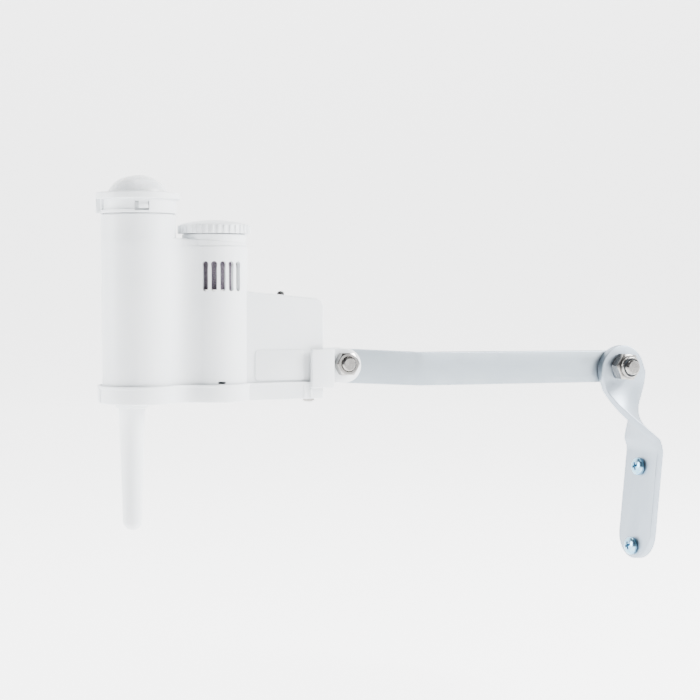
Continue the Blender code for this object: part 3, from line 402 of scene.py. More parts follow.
def softened(made, width, steps=3, angle=35):
    bevel = made.modifiers.new("soft_edges", "BEVEL")
    bevel.width = width
    bevel.segments = steps
    bevel.limit_method = "ANGLE"
    bevel.angle_limit = math.radians(angle)
    bevel.miter_outer = "MITER_ARC"
    return made


def combine(made, operation, shapes):
    for shape in shapes:
        boolean = made.modifiers.new(shape.name, "BOOLEAN")
        boolean.operation = operation
        boolean.solver = "EXACT"
        boolean.object = shape
    return made


def joined(made, *shapes):
    return combine(made, "UNION", shapes)


def cut(made, *shapes):
    return combine(made, "DIFFERENCE", shapes)


def mesh_from(made):
    return bpy.data.meshes.new_from_object(made.evaluated_get(bpy.context.evaluated_depsgraph_get()))


def clear_drafts():
    for shape in list(drafts.objects):
        bpy.data.objects.remove(shape, do_unlink=True)


def place(made, home, finish, body, slot, *nodes, sharp=35):
    """The finished piece: its mesh in the row frame, its finish, its body and the nodes it stands for."""
    mesh = mesh_from(made)
    mesh.transform(home)
    mesh.materials.clear()
    mesh.materials.append(finish)
    mesh.shade_smooth()
    mesh.set_sharp_from_angle(angle=math.radians(sharp))
    piece = bpy.data.objects.new(made.name.removesuffix("_draft"), mesh)
    bpy.context.scene.collection.objects.link(piece)
    clear_drafts()
    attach(piece, body)
    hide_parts(*nodes)
    faces = sum(len(face.vertices) - 2 for face in mesh.polygons)
    print(f"{piece.name}: {faces} triangles on {body}")


print("steps round a tube:", ROUND)

# %% [markdown]
# Vent slots and grip ribs both repeat round an axis, so one Geometry Nodes tree does them both. It puts
# copies of a shape on a ring: each copy turns about Z by its number times the pitch. The copies are made real
# at the end, because a finished mesh has to hold its own faces.

# %% A ring of copies with Geometry Nodes
def ring_tree():
    tree = bpy.data.node_groups.new("copies_round_an_axis", "GeometryNodeTree")
    sockets = tree.interface
    sockets.new_socket("Shape", in_out="INPUT", socket_type="NodeSocketObject")
    sockets.new_socket("Count", in_out="INPUT", socket_type="NodeSocketInt")
    sockets.new_socket("Start", in_out="INPUT", socket_type="NodeSocketFloat")
    sockets.new_socket("Pitch", in_out="INPUT", socket_type="NodeSocketFloat")
    sockets.new_socket("Finish", in_out="INPUT", socket_type="NodeSocketMaterial")
    sockets.new_socket("Geometry", in_out="OUTPUT", socket_type="NodeSocketGeometry")
    given = tree.nodes.new("NodeGroupInput").outputs
    shape = add_node(tree, "GeometryNodeObjectInfo", Object=given["Shape"])
    points = add_node(tree, "GeometryNodePoints", Count=given["Count"])
    number = add_node(tree, "GeometryNodeInputIndex").outputs["Index"]
    steps = add_node(tree, "ShaderNodeMath", {"operation": "MULTIPLY"}, i0=number, i1=given["Pitch"])
    angle = add_node(tree, "ShaderNodeMath", {"operation": "ADD"}, i0=steps.outputs[0], i1=given["Start"])
    spin = add_node(tree, "ShaderNodeCombineXYZ", Z=angle.outputs[0])
    euler = add_node(tree, "FunctionNodeEulerToRotation", Euler=spin.outputs[0])
    copies = add_node(
        tree,
        "GeometryNodeInstanceOnPoints",
        Points=points.outputs[0],
        Instance=shape.outputs["Geometry"],
        Rotation=euler.outputs[0],
    )
    real = add_node(tree, "GeometryNodeRealizeInstances", Geometry=copies.outputs[0])
    coloured = add_node(tree, "GeometryNodeSetMaterial", Geometry=real.outputs[0], Material=given["Finish"])
    add_node(tree, "NodeGroupOutput", Geometry=coloured.outputs[0])
    return tree


RING = ring_tree()


def ring_of(name, shape, count, start, pitch, finish):
    """A plain mesh of copies of a draft round Z."""
    host = bpy.data.objects.new(name + "_host", bpy.data.meshes.new(name))
    drafts.objects.link(host)
    nodes = host.modifiers.new("ring", "NODES")
    nodes.node_group = RING
    values = {"Shape": shape, "Count": count, "Start": start, "Pitch": pitch, "Finish": finish}
    for item in RING.interface.items_tree:
        if item.in_out == "INPUT":
            nodes[item.identifier] = values[item.name]
    mesh = mesh_from(host)
    made = bpy.data.objects.new(name, mesh)
    drafts.objects.link(made)
    bpy.data.objects.remove(host, do_unlink=True)
    return made


print("ring inputs:", [item.name for item in RING.interface.items_tree if item.in_out == "INPUT"])

# %% [markdown]
# The housing is one moulding: a tall tube, a shorter rain tube, the web that blends the two, and the box for
# the transmitter. The web is drawn as an outline of two circles with a large arc between them on each side,
# so its surface flows into both tubes. The parts are joined as solids and then hollowed, like the real
# moulding, so that the vent slots open into a real chamber.

# %% Sizes of the housing, some read from the engineering model and some given
head_low, head_high = nodes_in(HEAD, "main_housing")
ring_low, ring_high = nodes_in(HEAD, "lens_retainer")
cap_low, cap_high = nodes_in(CAP, "rain_cap")
sleeve_low, sleeve_high = nodes_in(CAP, "vent_sleeve")
disc_high = nodes_in(CAP, "moisture_disc_5")[1]
TALL_RADIUS = -head_low.x
TALL_DRAFT = 0.25 * MM
FOOT = head_low.z
NECK_TOP = head_high.z
GAP = 0.3 * MM  # between pieces that fit together
TALL_TOP = ring_low.z - GAP
NECK_RADIUS = TALL_RADIUS - 1.4 * MM
WALL = 1.6 * MM
RAIN_X = vent_axis.x
RAIN_RADIUS = sleeve_high.x + GAP + WALL
CAP_FOOT = sleeve_high.z + GAP
RIM = CAP_FOOT - GAP
WEB_TOP = RIM - 1.6 * MM
SEAT = sleeve_low.z - GAP
BOX_END = head_high.x
BOX_HALF = 6.5 * MM
BOX_TOP = 38.9 * MM
BOX_FALL = math.radians(5.3)
BOX_CORNER = 3.0 * MM
WEB_FILLET = 9.2 * MM
SLOT_LOW = 38.9 * MM
SLOT_HEIGHT = 10.6 * MM
SLOT_WIDTH = 1.9 * MM
SLOT_HEAD = 2.2 * MM
SLOT_PITCH = math.radians(15.2)
SLOT_CENTRE = math.radians(-92.5)
SLOTS = 5
SLOT_START = SLOT_CENTRE - (SLOTS - 1) / 2 * SLOT_PITCH
GROOVE_Z = 54.7 * MM
GROOVE = 0.35 * MM
RAMP_RISE = 2.4 * MM
RAMP_STEP = 0.35 * MM
RAMP_START = math.radians(-185)
DRAIN_TURN = math.radians(-95)
print("tall tube", round(TALL_RADIUS / MM, 2), "mm, rain tube", round(RAIN_RADIUS / MM, 2), "mm")

# %% Two circles with an arc between them
def pair_outline(tall, rain, fillet, steps=24):
    """The plan of both tubes with the web between them, as one closed line."""
    x = ((tall + fillet) ** 2 - (rain + fillet) ** 2 + RAIN_X**2) / (2 * RAIN_X)
    y = math.sqrt((tall + fillet) ** 2 - x**2)
    first = math.atan2(y, x)
    second = math.atan2(y, x - RAIN_X)
    outline = arc((0, 0), tall, first, 2 * math.pi - first, 3 * steps)
    outline += arc((x, -y), fillet, math.pi - first, math.pi - second, steps)[1:]
    outline += arc((RAIN_X, 0), rain, -second, second, 3 * steps)[1:]
    outline += arc((x, y), fillet, -math.pi + second, -math.pi + first, steps)[1:-1]
    return outline


def box_side(inset, foot):
    """The transmitter box seen from the side, with its sloping top and round corner."""
    end = BOX_END - inset
    corner = max(BOX_CORNER - inset, 0.8 * MM)
    top = BOX_TOP - (end - RAIN_X - RAIN_RADIUS) * math.tan(BOX_FALL) - inset
    near = BOX_TOP + RAIN_RADIUS * math.tan(BOX_FALL) - inset
    side = [(RAIN_X, foot), (end, foot)]
    side += arc((end - corner, top - corner), corner, 0, QUARTER - BOX_FALL, 10)
    return side + [(RAIN_X, near)]


STANDING = Matrix.Rotation(QUARTER, 4, "X")  # turns a flat outline up, with its thickness along Y
whole_plan = pair_outline(TALL_RADIUS, RAIN_RADIUS, WEB_FILLET)
waist = min(abs(y) for x, y in whole_plan if 0.35 * RAIN_X < x < 0.65 * RAIN_X)
print("the web is", round(2 * waist / MM, 2), "mm thick at its waist")

# %% Rain tube with its groove and the ramps that the cap turns on
def ramp_ring(inner, outer, low, high, rise, ramps=2, steps=ROUND):
    """A collar whose upper edge climbs like a cam, with a drop at the end of each ramp."""
    bm = bmesh.new()
    rings = []
    for step in range(steps):
        share = (step * ramps / steps) % 1.0
        top = high - rise * share
        turn = 2 * math.pi * step / steps + RAMP_START
        break_edge = 0.12 * MM
        corners = (
            (inner, low),
            (outer, low),
            (outer, top - break_edge),
            (outer - break_edge, top),
            (inner, top),
        )
        rings.append([bm.verts.new((r * math.cos(turn), r * math.sin(turn), z)) for r, z in corners])
    for here, there in zip(rings, rings[1:] + rings[:1]):
        for index in range(len(here)):
            following = (index + 1) % len(here)
            bm.faces.new((here[index], there[index], there[following], here[following]))
    return draft("ramp_collar", bm, Matrix.Translation((RAIN_X, 0, 0)))


def rain_tube():
    edge = 0.3 * MM
    inner = RAIN_RADIUS - RAMP_STEP
    profile = [
        (0, RIM),
        (inner - edge, RIM),
        (inner, RIM - edge),
        (inner, GROOVE_Z + GROOVE),
        (inner - 0.1 * MM, GROOVE_Z + GROOVE / 2),
        (inner, GROOVE_Z),
        (RAIN_RADIUS - 0.1 * MM, GROOVE_Z),
        (RAIN_RADIUS, GROOVE_Z - 0.1 * MM),
        (RAIN_RADIUS, FOOT),
        (0, FOOT),
    ]
    tube = turned("rain_tube", profile, turn=Matrix.Translation((RAIN_X, 0, 0)))
    collar_low = GROOVE_Z + GROOVE
    collar = ramp_ring(inner - MM, RAIN_RADIUS, collar_low, collar_low + RAMP_RISE + 0.2 * MM, RAMP_RISE)
    return joined(tube, collar)


def slot_cutter(start):
    """Round-ended slots with a wider head, fanned about the rain tube's axis."""
    half = SLOT_WIDTH / 2
    head = SLOT_HEAD / 2
    low = SLOT_LOW + half
    high = SLOT_LOW + SLOT_HEIGHT - head
    outline = arc((0, low), half, math.pi, 2 * math.pi, 10)
    outline += [(half, high - head * 1.3)]
    outline += arc((0, high), head, 0, math.pi, 10)
    outline += [(-half, high - head * 1.3)]
    facing = Matrix.Rotation(QUARTER, 4, "Z") @ STANDING
    cutter = slab("slot", outline, RAIN_RADIUS - 2.6 * MM, RAIN_RADIUS + MM, facing)
    ring = ring_of("slots", cutter, SLOTS, start, SLOT_PITCH, white_abs)
    ring.data.transform(Matrix.Translation((RAIN_X, 0, 0)))
    return ring


print("vent slots:", 2 * SLOTS)

# %% The whole housing
def with_panels(box_part):
    """A low raised panel on each side of the box."""
    low = (RAIN_X + RAIN_RADIUS + 1.2 * MM, 6.9 * MM)
    high = (BOX_END - 7.6 * MM, 17.8 * MM)
    outline = box_outline(low, high, 1.6 * MM)
    reach = BOX_HALF + 0.35 * MM
    panel = slab("panel", outline, -reach, reach, STANDING)
    return joined(box_part, softened(panel, 0.12 * MM, 2, 60))


def make_housing():
    edge = 0.4 * MM
    profile = [
        (0, NECK_TOP),
        (NECK_RADIUS, NECK_TOP),
        (NECK_RADIUS, TALL_TOP),
        (TALL_RADIUS - edge, TALL_TOP),
        (TALL_RADIUS, TALL_TOP - edge),
        (TALL_RADIUS - TALL_DRAFT, FOOT),
        (0, FOOT),
    ]
    housing = turned("white_housing", profile)
    skin = 0.02 * MM
    foot_plan = pair_outline(TALL_RADIUS - TALL_DRAFT - skin, RAIN_RADIUS - skin, WEB_FILLET)
    top_plan = pair_outline(TALL_RADIUS - skin, RAIN_RADIUS - skin, WEB_FILLET)
    web = slab("web", foot_plan, FOOT + skin, GROOVE_Z - 0.1 * MM, top=top_plan)
    slim_plan = pair_outline(TALL_RADIUS - skin, RAIN_RADIUS - RAMP_STEP - skin, WEB_FILLET)
    joined(web, softened(slab("upper_web", slim_plan, GROOVE_Z - MM, WEB_TOP), 0.8 * MM, 4, 60))
    box_part = softened(slab("box", box_side(0, FOOT + skin), -BOX_HALF, BOX_HALF, STANDING), 0.7 * MM, 4, 60)
    joined(housing, web, rain_tube(), with_panels(box_part))
    below = FOOT - MM
    bore = TALL_RADIUS - WALL - 0.1 * MM
    rain_bore = RAIN_RADIUS - WALL
    neck_bore = NECK_RADIUS - WALL + GAP
    over_neck = NECK_TOP + MM
    over_rim = RIM + MM
    stem = 1.9 * MM
    stem_low = SEAT - 3 * MM
    stem_high = SEAT + MM
    shift = Matrix.Translation((RAIN_X, 0, 0))
    spring_floor = SEAT - WALL
    past_tube = RAIN_RADIUS + 0.4 * MM
    room_side = [(x + (past_tube if x == RAIN_X else 0), z) for x, z in box_side(WALL, below)]
    cut(
        housing,
        slot_cutter(SLOT_START),
        slot_cutter(SLOT_START + math.pi),
        turned("tall_room", [(0, below), (bore, below), (bore, TALL_TOP - 2 * MM), (0, TALL_TOP - 2 * MM)]),
        turned("neck_room", [(0, TALL_TOP), (neck_bore, TALL_TOP), (neck_bore, over_neck), (0, over_neck)]),
        turned(
            "lower_room",
            [(0, below), (rain_bore, below), (rain_bore, spring_floor), (0, spring_floor)],
            turn=shift,
        ),
        turned("vent_room", [(0, SEAT), (rain_bore, SEAT), (rain_bore, over_rim), (0, over_rim)], turn=shift),
        turned(
            "stem_hole",
            [(0, stem_low), (stem, stem_low), (stem, stem_high), (0, stem_high)],
            SMALL_ROUND,
            shift,
        ),
        box("web_room", (0, -4 * MM, below), (RAIN_X, 4 * MM, spring_floor - MM)),
        slab("box_room", room_side, -BOX_HALF + WALL, BOX_HALF - WALL, STANDING),
    )
    button_low, button_high = nodes_in(HEAD, "test_button")
    button_x = (button_low.x + button_high.x) / 2
    hole = 1.6 * MM
    inside_box = 30 * MM
    over_box = 45 * MM
    hole_profile = [(0, inside_box), (hole, inside_box), (hole, over_box), (0, over_box)]
    cut(housing, turned("button_hole", hole_profile, SMALL_ROUND, Matrix.Translation((button_x, 0, 0))))
    drain_turn = shift @ Matrix.Rotation(DRAIN_TURN, 4, "Z")
    drain_low = (rain_bore - MM, -1.3 * MM, 6.4 * MM)
    drain_high = (RAIN_RADIUS + MM, 1.3 * MM, 7.3 * MM)
    cut(housing, box("drain", drain_low, drain_high, 0, drain_turn))
    place(housing, HEAD, white_abs, "sensor_head", "white_abs", "main_housing", sharp=30)


make_housing()

# %% [markdown]
# The base tray snaps over the foot of the housing. It follows the same plan, one skirt larger, and it stays
# open at the end where the yoke takes over. A raised lip runs round its upper edge, and short ribs stiffen
# the skirt where the snap tongues are. Under the tall tube, a hub grips the antenna.

# %% Base tray
TRAY_TOP = tray_high.z - tray_low.z - HUB_DROP
TRAY_FLOOR = 1.2 * MM
SKIRT_ROOM = GAP
SKIRT = 0.85 * MM
LIP = 0.25 * MM
LIP_HEIGHT = 1.1 * MM
HUB_RADIUS = 5.7 * MM
ANTENNA_X = -2.7 * MM
SCREW_HOLE = 1.4 * MM


def tray_plan(spread, low, high, soft, end):
    """The tray's plan, spread beyond the housing, as two softened solids: the tubes and the box."""
    plan = pair_outline(TALL_RADIUS + spread, RAIN_RADIUS + spread, WEB_FILLET - spread)
    tubes = slab("tray_tubes", plan, low, high)
    half = BOX_HALF + spread
    box_part = box("tray_box", (RAIN_X, -half, low), (end, half, high))
    if soft:
        softened(tubes, soft, 3, 60)
        softened(box_part, soft, 3, 60)
    return tubes, box_part


def make_tray():
    spread = SKIRT_ROOM + SKIRT
    end = BOX_END - 0.6 * MM
    tray, box_part = tray_plan(spread, 0, TRAY_TOP - LIP_HEIGHT / 2, 0.35 * MM, end)
    lip_tubes, lip_box = tray_plan(spread + LIP, TRAY_TOP - LIP_HEIGHT, TRAY_TOP, 0.2 * MM, end)
    tray.name = "white_base_tray"
    hub_profile = [
        (0, TRAY_FLOOR / 2),
        (HUB_RADIUS, TRAY_FLOOR / 2),
        (HUB_RADIUS, 0.3 * MM - HUB_DROP),
        (HUB_RADIUS - 0.3 * MM, -HUB_DROP),
        (0, -HUB_DROP),
    ]
    antenna_place = Matrix.Translation((ANTENNA_X, 0, 0))
    joined(tray, box_part, lip_tubes, lip_box, turned("hub", hub_profile, SMALL_ROUND, antenna_place))
    rib_half = 0.45 * MM
    proud = spread + 0.25 * MM
    reach = BOX_HALF + proud
    under_lip = TRAY_TOP - 0.3 * MM
    for number, x in enumerate((RAIN_X + 8.4 * MM, BOX_END - 7.8 * MM, BOX_END - 5.4 * MM)):
        rib = box(f"rib_{number}", (x - rib_half, -reach, 0.5 * MM), (x + rib_half, reach, under_lip))
        joined(tray, softened(rib, 0.15 * MM, 2))
    tongue_half = 1.6 * MM
    tongue_low = (-TALL_RADIUS - proud, -tongue_half, 0.4 * MM)
    tongue = box("tongue", tongue_low, (-TALL_RADIUS, tongue_half, under_lip))
    joined(tray, softened(tongue, 0.2 * MM, 2))
    room_tubes, room_box = tray_plan(SKIRT_ROOM, TRAY_FLOOR, TRAY_TOP + MM, 0, BOX_END + SKIRT_ROOM)
    antenna_hole = 5.05 * MM
    hole_profile = [(0, -3 * MM), (antenna_hole, -3 * MM), (antenna_hole, 3 * MM), (0, 3 * MM)]
    cut(tray, room_tubes, room_box, turned("antenna_hole", hole_profile, SMALL_ROUND, antenna_place))
    for number in (1, 2, 3):
        low, high = nodes_in(HEAD, f"tray_screw_{number}")
        screw_place = Matrix.Translation(((low.x + high.x) / 2, (low.y + high.y) / 2, 0))
        profile = [(0, -MM), (SCREW_HOLE, -MM), (SCREW_HOLE, 3 * MM), (0, 3 * MM)]
        cut(tray, turned(f"screw_hole_{number}", profile, HOLE_ROUND, screw_place))
    place(tray, HEAD, white_abs, "sensor_head", "white_abs", "base_tray", sharp=30)


make_tray()

# %% [markdown]
# The antenna is a thin wire inside a tapered sleeve, closed and round at its tip so that rain runs off.

# %% Antenna sleeve
def make_antenna():
    low, high = nodes_in(HEAD, "antenna_sleeve")
    tip_radius = 3.4 * MM
    root = 4.75 * MM
    flange = 6.3 * MM
    bore = 2.2 * MM
    shoulder = high.z - MM
    profile = [
        (0, low.z + 3 * MM),
        (bore, low.z + 5 * MM),
        (bore, high.z),
        (flange - 0.2 * MM, high.z),
        (flange, high.z - 0.2 * MM),
        (flange, shoulder),
        (root, shoulder),
        (root, -HUB_DROP - 0.5 * MM),
        (root - 0.12 * MM, -HUB_DROP - 0.9 * MM),
    ]
    profile += arc((0, low.z + tip_radius), tip_radius, -0.05, -QUARTER, 16)[:-1]
    profile.append((0, low.z))
    sleeve = turned("antenna_shroud", profile, MIDDLE_ROUND, Matrix.Translation((ANTENNA_X, 0, 0)))
    place(sleeve, HEAD, white_abs, "sensor_head", "white_abs", "antenna_sleeve")


make_antenna()

# %% [markdown]
# A ring snaps over the neck of the tall tube and holds the lens. Its flange stands proud like the brim of a
# hat. Three windows show the snap tongues, and a shallow recess beside one of them takes a coin or a nail to
# prise the ring off.

# %% Lens ring
WINDOW_ANGLE = math.radians(-99)
TONGUE_ANGLE = math.radians(-96.4)
TAB_ANGLE = math.radians(168)
RECESS_START = math.radians(-176)
RECESS_END = math.radians(-110)
WINDOWS = 3
WINDOW_WIDTH = 5.0 * MM
TONGUE_HALF = 1.6 * MM
TAB_HALF = 2.2 * MM
FLANGE_HEIGHT = 2.3 * MM


def around(angle):
    return Matrix.Rotation(angle, 4, "Z")


def sector(name, inner, outer, start, end, low, high):
    """A piece of a flat ring between two angles."""
    outline = arc((0, 0), outer, start, end, 24) + arc((0, 0), inner, end, start, 24)
    return slab(name, outline, low, high)


def make_lens_ring():
    top = ring_high.z
    low = ring_low.z
    skirt = TALL_RADIUS + 0.2 * MM
    flange = skirt + 1.4 * MM
    flange_low = top - FLANGE_HEIGHT
    bore = NECK_RADIUS + GAP
    opening = NECK_RADIUS - 0.7 * MM
    plate = NECK_TOP + 2.5 * MM
    edge = 0.45 * MM
    profile = [(opening, top - 0.2 * MM), (opening + 0.3 * MM, top)]
    profile += arc((flange - edge, top - edge), edge, QUARTER, 0, 4)
    profile += [
        (flange, flange_low + 0.15 * MM),
        (flange - 0.15 * MM, flange_low),
        (skirt, flange_low),
        (skirt, low + 0.2 * MM),
        (skirt - 0.2 * MM, low),
        (bore, low),
        (bore, plate),
        (opening, plate),
    ]
    ring = turned("white_lens_ring", profile)
    tab_low = (skirt - 0.8 * MM, -TAB_HALF, low + 0.1 * MM)
    tab_high = (flange - 0.05 * MM, TAB_HALF, flange_low + MM)
    joined(ring, softened(box("tab", tab_low, tab_high, 0, around(TAB_ANGLE)), 0.25 * MM, 3))
    inner = skirt - 0.75 * MM
    recess_low = low + 1.1 * MM
    recess_high = flange_low - 0.1 * MM
    cut(ring, sector("recess", inner, skirt + MM, RECESS_START, RECESS_END, recess_low, recess_high))
    half = WINDOW_WIDTH / 2
    window_low = (bore - 0.2 * MM, -half, low + 0.75 * MM)
    window_high = (skirt + MM, half, low + 3.9 * MM)
    tongue_low = (bore - 0.1 * MM, -TONGUE_HALF, low + 1.5 * MM)
    tongue_high = (skirt + 0.1 * MM, TONGUE_HALF, low + 2.8 * MM)
    root_low = (bore, -TONGUE_HALF, low + 2.6 * MM)
    root_high = (skirt - 0.5 * MM, TONGUE_HALF, low + 4 * MM)
    turns = [number * 2 * math.pi / WINDOWS for number in range(WINDOWS)]
    for number, turn in enumerate(turns):
        cut(ring, box(f"window_{number}", window_low, window_high, 0, around(WINDOW_ANGLE + turn)))
    for number, turn in enumerate(turns):
        placed = around(TONGUE_ANGLE + turn)
        tongue = box(f"tongue_{number}", tongue_low, tongue_high, 0, placed)
        root = box(f"root_{number}", root_low, root_high, 0, placed)
        joined(ring, softened(tongue, 0.2 * MM, 2), root)
    place(ring, HEAD, white_abs, "sensor_head", "white_abs", "lens_retainer", sharp=30)


make_lens_ring()

# %% [markdown]
# The lens is a frosted dome. Its plastic is tinted a faint blue, and light scatters inside its wall. Only a
# little passes straight through, so what is inside doesn't show clearly.

# %% Frosted lens
LENS_WALL = 1.2 * MM
FROST = 0.3 * MM


def frosted_lens():
    tones = ("#F3F6F8", "#EAEFF3")
    made, tree, shader, place_here = grained(
        "frosted_polycarbonate", "#DCE6EC", tones, 0.3, 6 * MM, FROST, 0.01 * MM, 0.2
    )
    tree.links.new(drifting(tree, place_here, 3 * MM, 0.22, 0.34), shader.inputs["Roughness"])
    shader.inputs["Transmission Weight"].default_value = 0.12
    shader.inputs["IOR"].default_value = 1.58
    shader.inputs["Subsurface Weight"].default_value = 0.25
    shader.inputs["Subsurface Radius"].default_value = (2 * MM, 2.2 * MM, 2.5 * MM)
    shader.inputs["Subsurface Scale"].default_value = 1.0
    return made


def make_lens():
    low, high = nodes_in(HEAD, "dome_lens")
    foot = (high.x - low.x) / 2
    foot_top = low.z + 0.8 * MM
    radius = NECK_RADIUS - MM
    outer = [(radius * x, foot_top + (high.z - foot_top) * z) for x, z in arc((0, 0), 1, QUARTER, 0, 32)]
    within = radius - LENS_WALL
    rise = high.z - LENS_WALL - low.z
    inner = [(within * x, low.z + rise * z) for x, z in arc((0, 0), 1, 0, QUARTER, 32)]
    outer[0] = (0, high.z)
    inner[-1] = (0, high.z - LENS_WALL)
    dome = turned("frosted_dome", outer + [(foot, foot_top), (foot, low.z)] + inner, MIDDLE_ROUND)
    place(dome, HEAD, frosted_lens(), "sensor_head", "frosted_lens", "dome_lens")


make_lens()

# %% [markdown]
# The vent cap turns by hand, so its rim is ribbed for grip. The ribs and the cap are one moulding: a ring of
# ribs from the Geometry Nodes tree is joined to a turned disc. One broad rib marks how far the vents are
# open.

# %% Vent cap
RIBS = 36
RIB_DEPTH = 0.4 * MM
SLEEVE_WALL = 0.8 * MM
CROWN_CURVE = 2.2
CROWN_STEPS = (0.2, 0.4, 0.6, 0.8, 0.93)
POINTER_ANGLE = math.radians(-147.5)


def make_cap():
    radius = (cap_high.x - cap_low.x) / 2
    side_low = CAP_FOOT
    side_high = side_low + 3.2 * MM
    crown = cap_high.z
    body = radius - RIB_DEPTH
    plug = sleeve_high.x - SLEEVE_WALL - GAP
    plug_low = disc_high.z + GAP
    rise = crown - side_high
    profile = [(0, crown)]
    profile += [(body * share, side_high + rise * (1 - share**CROWN_CURVE)) for share in CROWN_STEPS]
    profile += [
        (body - 0.1 * MM, side_high - 0.15 * MM),
        (body, side_high - 0.4 * MM),
        (body, side_low),
        (plug, side_low),
        (plug, plug_low),
        (0, plug_low),
    ]
    cap = turned("ribbed_vent_cap", profile)
    half = 0.55 * MM
    outline = box_outline((body - MM, -half), (radius, half), 0.28 * MM, 4)
    rib = softened(slab("rib", outline, side_low, side_high - 0.3 * MM), 0.15 * MM, 2, 60)
    ribs = ring_of("ribs", rib, RIBS, 0.0, 2 * math.pi / RIBS, white_abs)
    broad = box_outline((body - MM, -1.1 * MM), (radius, 1.1 * MM), 0.25 * MM, 4)
    pointer = slab("pointer", broad, side_low + 0.02 * MM, side_high - 0.2 * MM, around(POINTER_ANGLE))
    joined(cap, ribs, pointer)
    place(cap, CAP, white_abs, "vent_cap", "white_abs", "rain_cap", sharp=30)


make_cap()

# %% [markdown]
# The test button is a plug of black rubber, pushed through a hole in the top of the box from inside.

# %% Test button
def make_button():
    low, high = nodes_in(HEAD, "test_button")
    centre = (low.x + high.x) / 2
    collar = (high.x - low.x) / 2
    radius = 1.3 * MM
    collar_top = low.z + 0.7 * MM
    dome = [(radius * x, high.z - MM + MM * z) for x, z in arc((0, 0), 1, QUARTER, 0, 12)]
    dome[0] = (0, high.z)
    profile = dome + [(radius, collar_top), (collar, collar_top), (collar, low.z), (0, low.z)]
    button = turned("rubber_test_button", profile, SMALL_ROUND, Matrix.Translation((centre, 0, 0)))
    tones = ("#1C1C1D", "#121213")
    rubber = grained("moulded_black_rubber", "#191919", tones, 0.6, 1.2 * MM, GRAIN, 0.03 * MM, 0.6, 3.0)[0]
    place(button, HEAD, rubber, "test_button", "black_rubber", "test_button")


make_button()

# %% [markdown]
# The yoke is a separate moulding that clips round the end of the box and the tray, and two ears on it hold
# the arm between them. It is a block with a room for the box, ears with round ends, and a slot for the arm.

# %% Yoke
ARM_WIDTH = 12.7 * MM
ARM_THICKNESS = 3.2 * MM
EAR_THICKNESS = 3.1 * MM
EAR_RADIUS = 6.3 * MM
EAR_DROP = 0.7 * MM
CHEEK = 1.5 * MM
CHEEK_END = BOX_END + 3.1 * MM
CLEVIS_HOLE = 2.8 * MM


def make_yoke():
    low, high = nodes_in(HEAD, "mounting_yoke")
    bolt_low, bolt_high = nodes_in(HEAD, "clevis_bolt")
    bolt_x = (bolt_low.x + bolt_high.x) / 2
    bolt_z = (bolt_low.z + bolt_high.z) / 2
    web = BOX_END + GAP
    outside = high.y
    inside = outside - CHEEK
    slot = ARM_THICKNESS / 2 + GAP
    ear = slot + EAR_THICKNESS
    ear_centre = (high.x - EAR_RADIUS, bolt_z - EAR_DROP)
    block_low = (low.x, -outside, low.z)
    yoke = softened(box("white_yoke", block_low, (CHEEK_END, outside, high.z)), 0.55 * MM, 4, 60)
    outline = arc(ear_centre, EAR_RADIUS, -QUARTER, QUARTER, 32)
    root = CHEEK_END - MM
    outline += [(root, ear_centre[1] + EAR_RADIUS), (root, ear_centre[1] - EAR_RADIUS)]
    joined(yoke, softened(slab("ears", outline, -ear, ear, STANDING), 0.4 * MM, 3, 60))
    reach = ARM_WIDTH / 2 + 1.2 * MM
    sideways = Matrix.Translation((bolt_x, 0, bolt_z)) @ STANDING
    hole = [(0, -outside), (CLEVIS_HOLE, -outside), (CLEVIS_HOLE, outside), (0, outside)]
    screw_low, screw_high = nodes_in(HEAD, "yoke_screw")
    screw_x = (screw_low.x + screw_high.x) / 2
    screw_z = (screw_low.z + screw_high.z) / 2
    start = -outside - MM
    end = -inside + MM
    small_hole = [(0, start), (SCREW_HOLE, start), (SCREW_HOLE, end), (0, end)]
    cut(
        yoke,
        box("room", (low.x - MM, -inside, low.z - MM), (web, inside, high.z + MM)),
        box("arm_slot", (bolt_x - reach, -slot, low.z - MM), (high.x + MM, slot, high.z + MM)),
        turned("bolt_hole", hole, SMALL_ROUND, sideways),
        turned("small_hole", small_hole, 32, Matrix.Translation((screw_x, 0, screw_z)) @ STANDING),
    )
    place(yoke, HEAD, white_abs, "sensor_head", "white_abs", "mounting_yoke", sharp=30)


make_yoke()

# %% [markdown]
# The arm and the bracket are aluminium bar, cut, drilled, bent and then clear anodised, which leaves a satin
# skin that looks more like pale paint than like a mirror. Rolling leaves faint lines along the bar. They are
# some 0.1 mm apart, and are drawn at 0.4 mm so that they show.

# %% Satin anodised aluminium
ROLL_LINE = 0.4 * MM
ROLL_LENGTH = 14.0 * MM


def satin_aluminium(name, light, dark, stretch, roughness):
    """Anodised bar; stretch is the size of a rolling line along X, Y and Z."""
    made, tree, shader = painted(name, light, roughness, 1.0)
    place_here = object_place(tree)
    scale = [1 / size for size in stretch]
    lines = add_node(tree, "ShaderNodeMapping", {"vector_type": "POINT"}, Vector=place_here, Scale=scale)
    streak = add_node(tree, "ShaderNodeTexNoise", Vector=lines.outputs[0], Scale=1.0, Detail=2.0)
    tone = drifting(tree, place_here, FLOW, 0.1, 0.4)
    add = {"operation": "MULTIPLY_ADD"}
    share = add_node(tree, "ShaderNodeMath", add, i0=streak.outputs["Fac"], i1=0.5, i2=tone)
    tree.links.new(tinted(tree, share.outputs[0], light, dark), shader.inputs["Base Color"])
    sheen = drifting(tree, place_here, FLOW / 2, roughness - 0.04, roughness + 0.06)
    tree.links.new(sheen, shader.inputs["Roughness"])
    bumped(tree, shader, streak.outputs["Fac"], 0.015 * MM, 0.5)
    return made


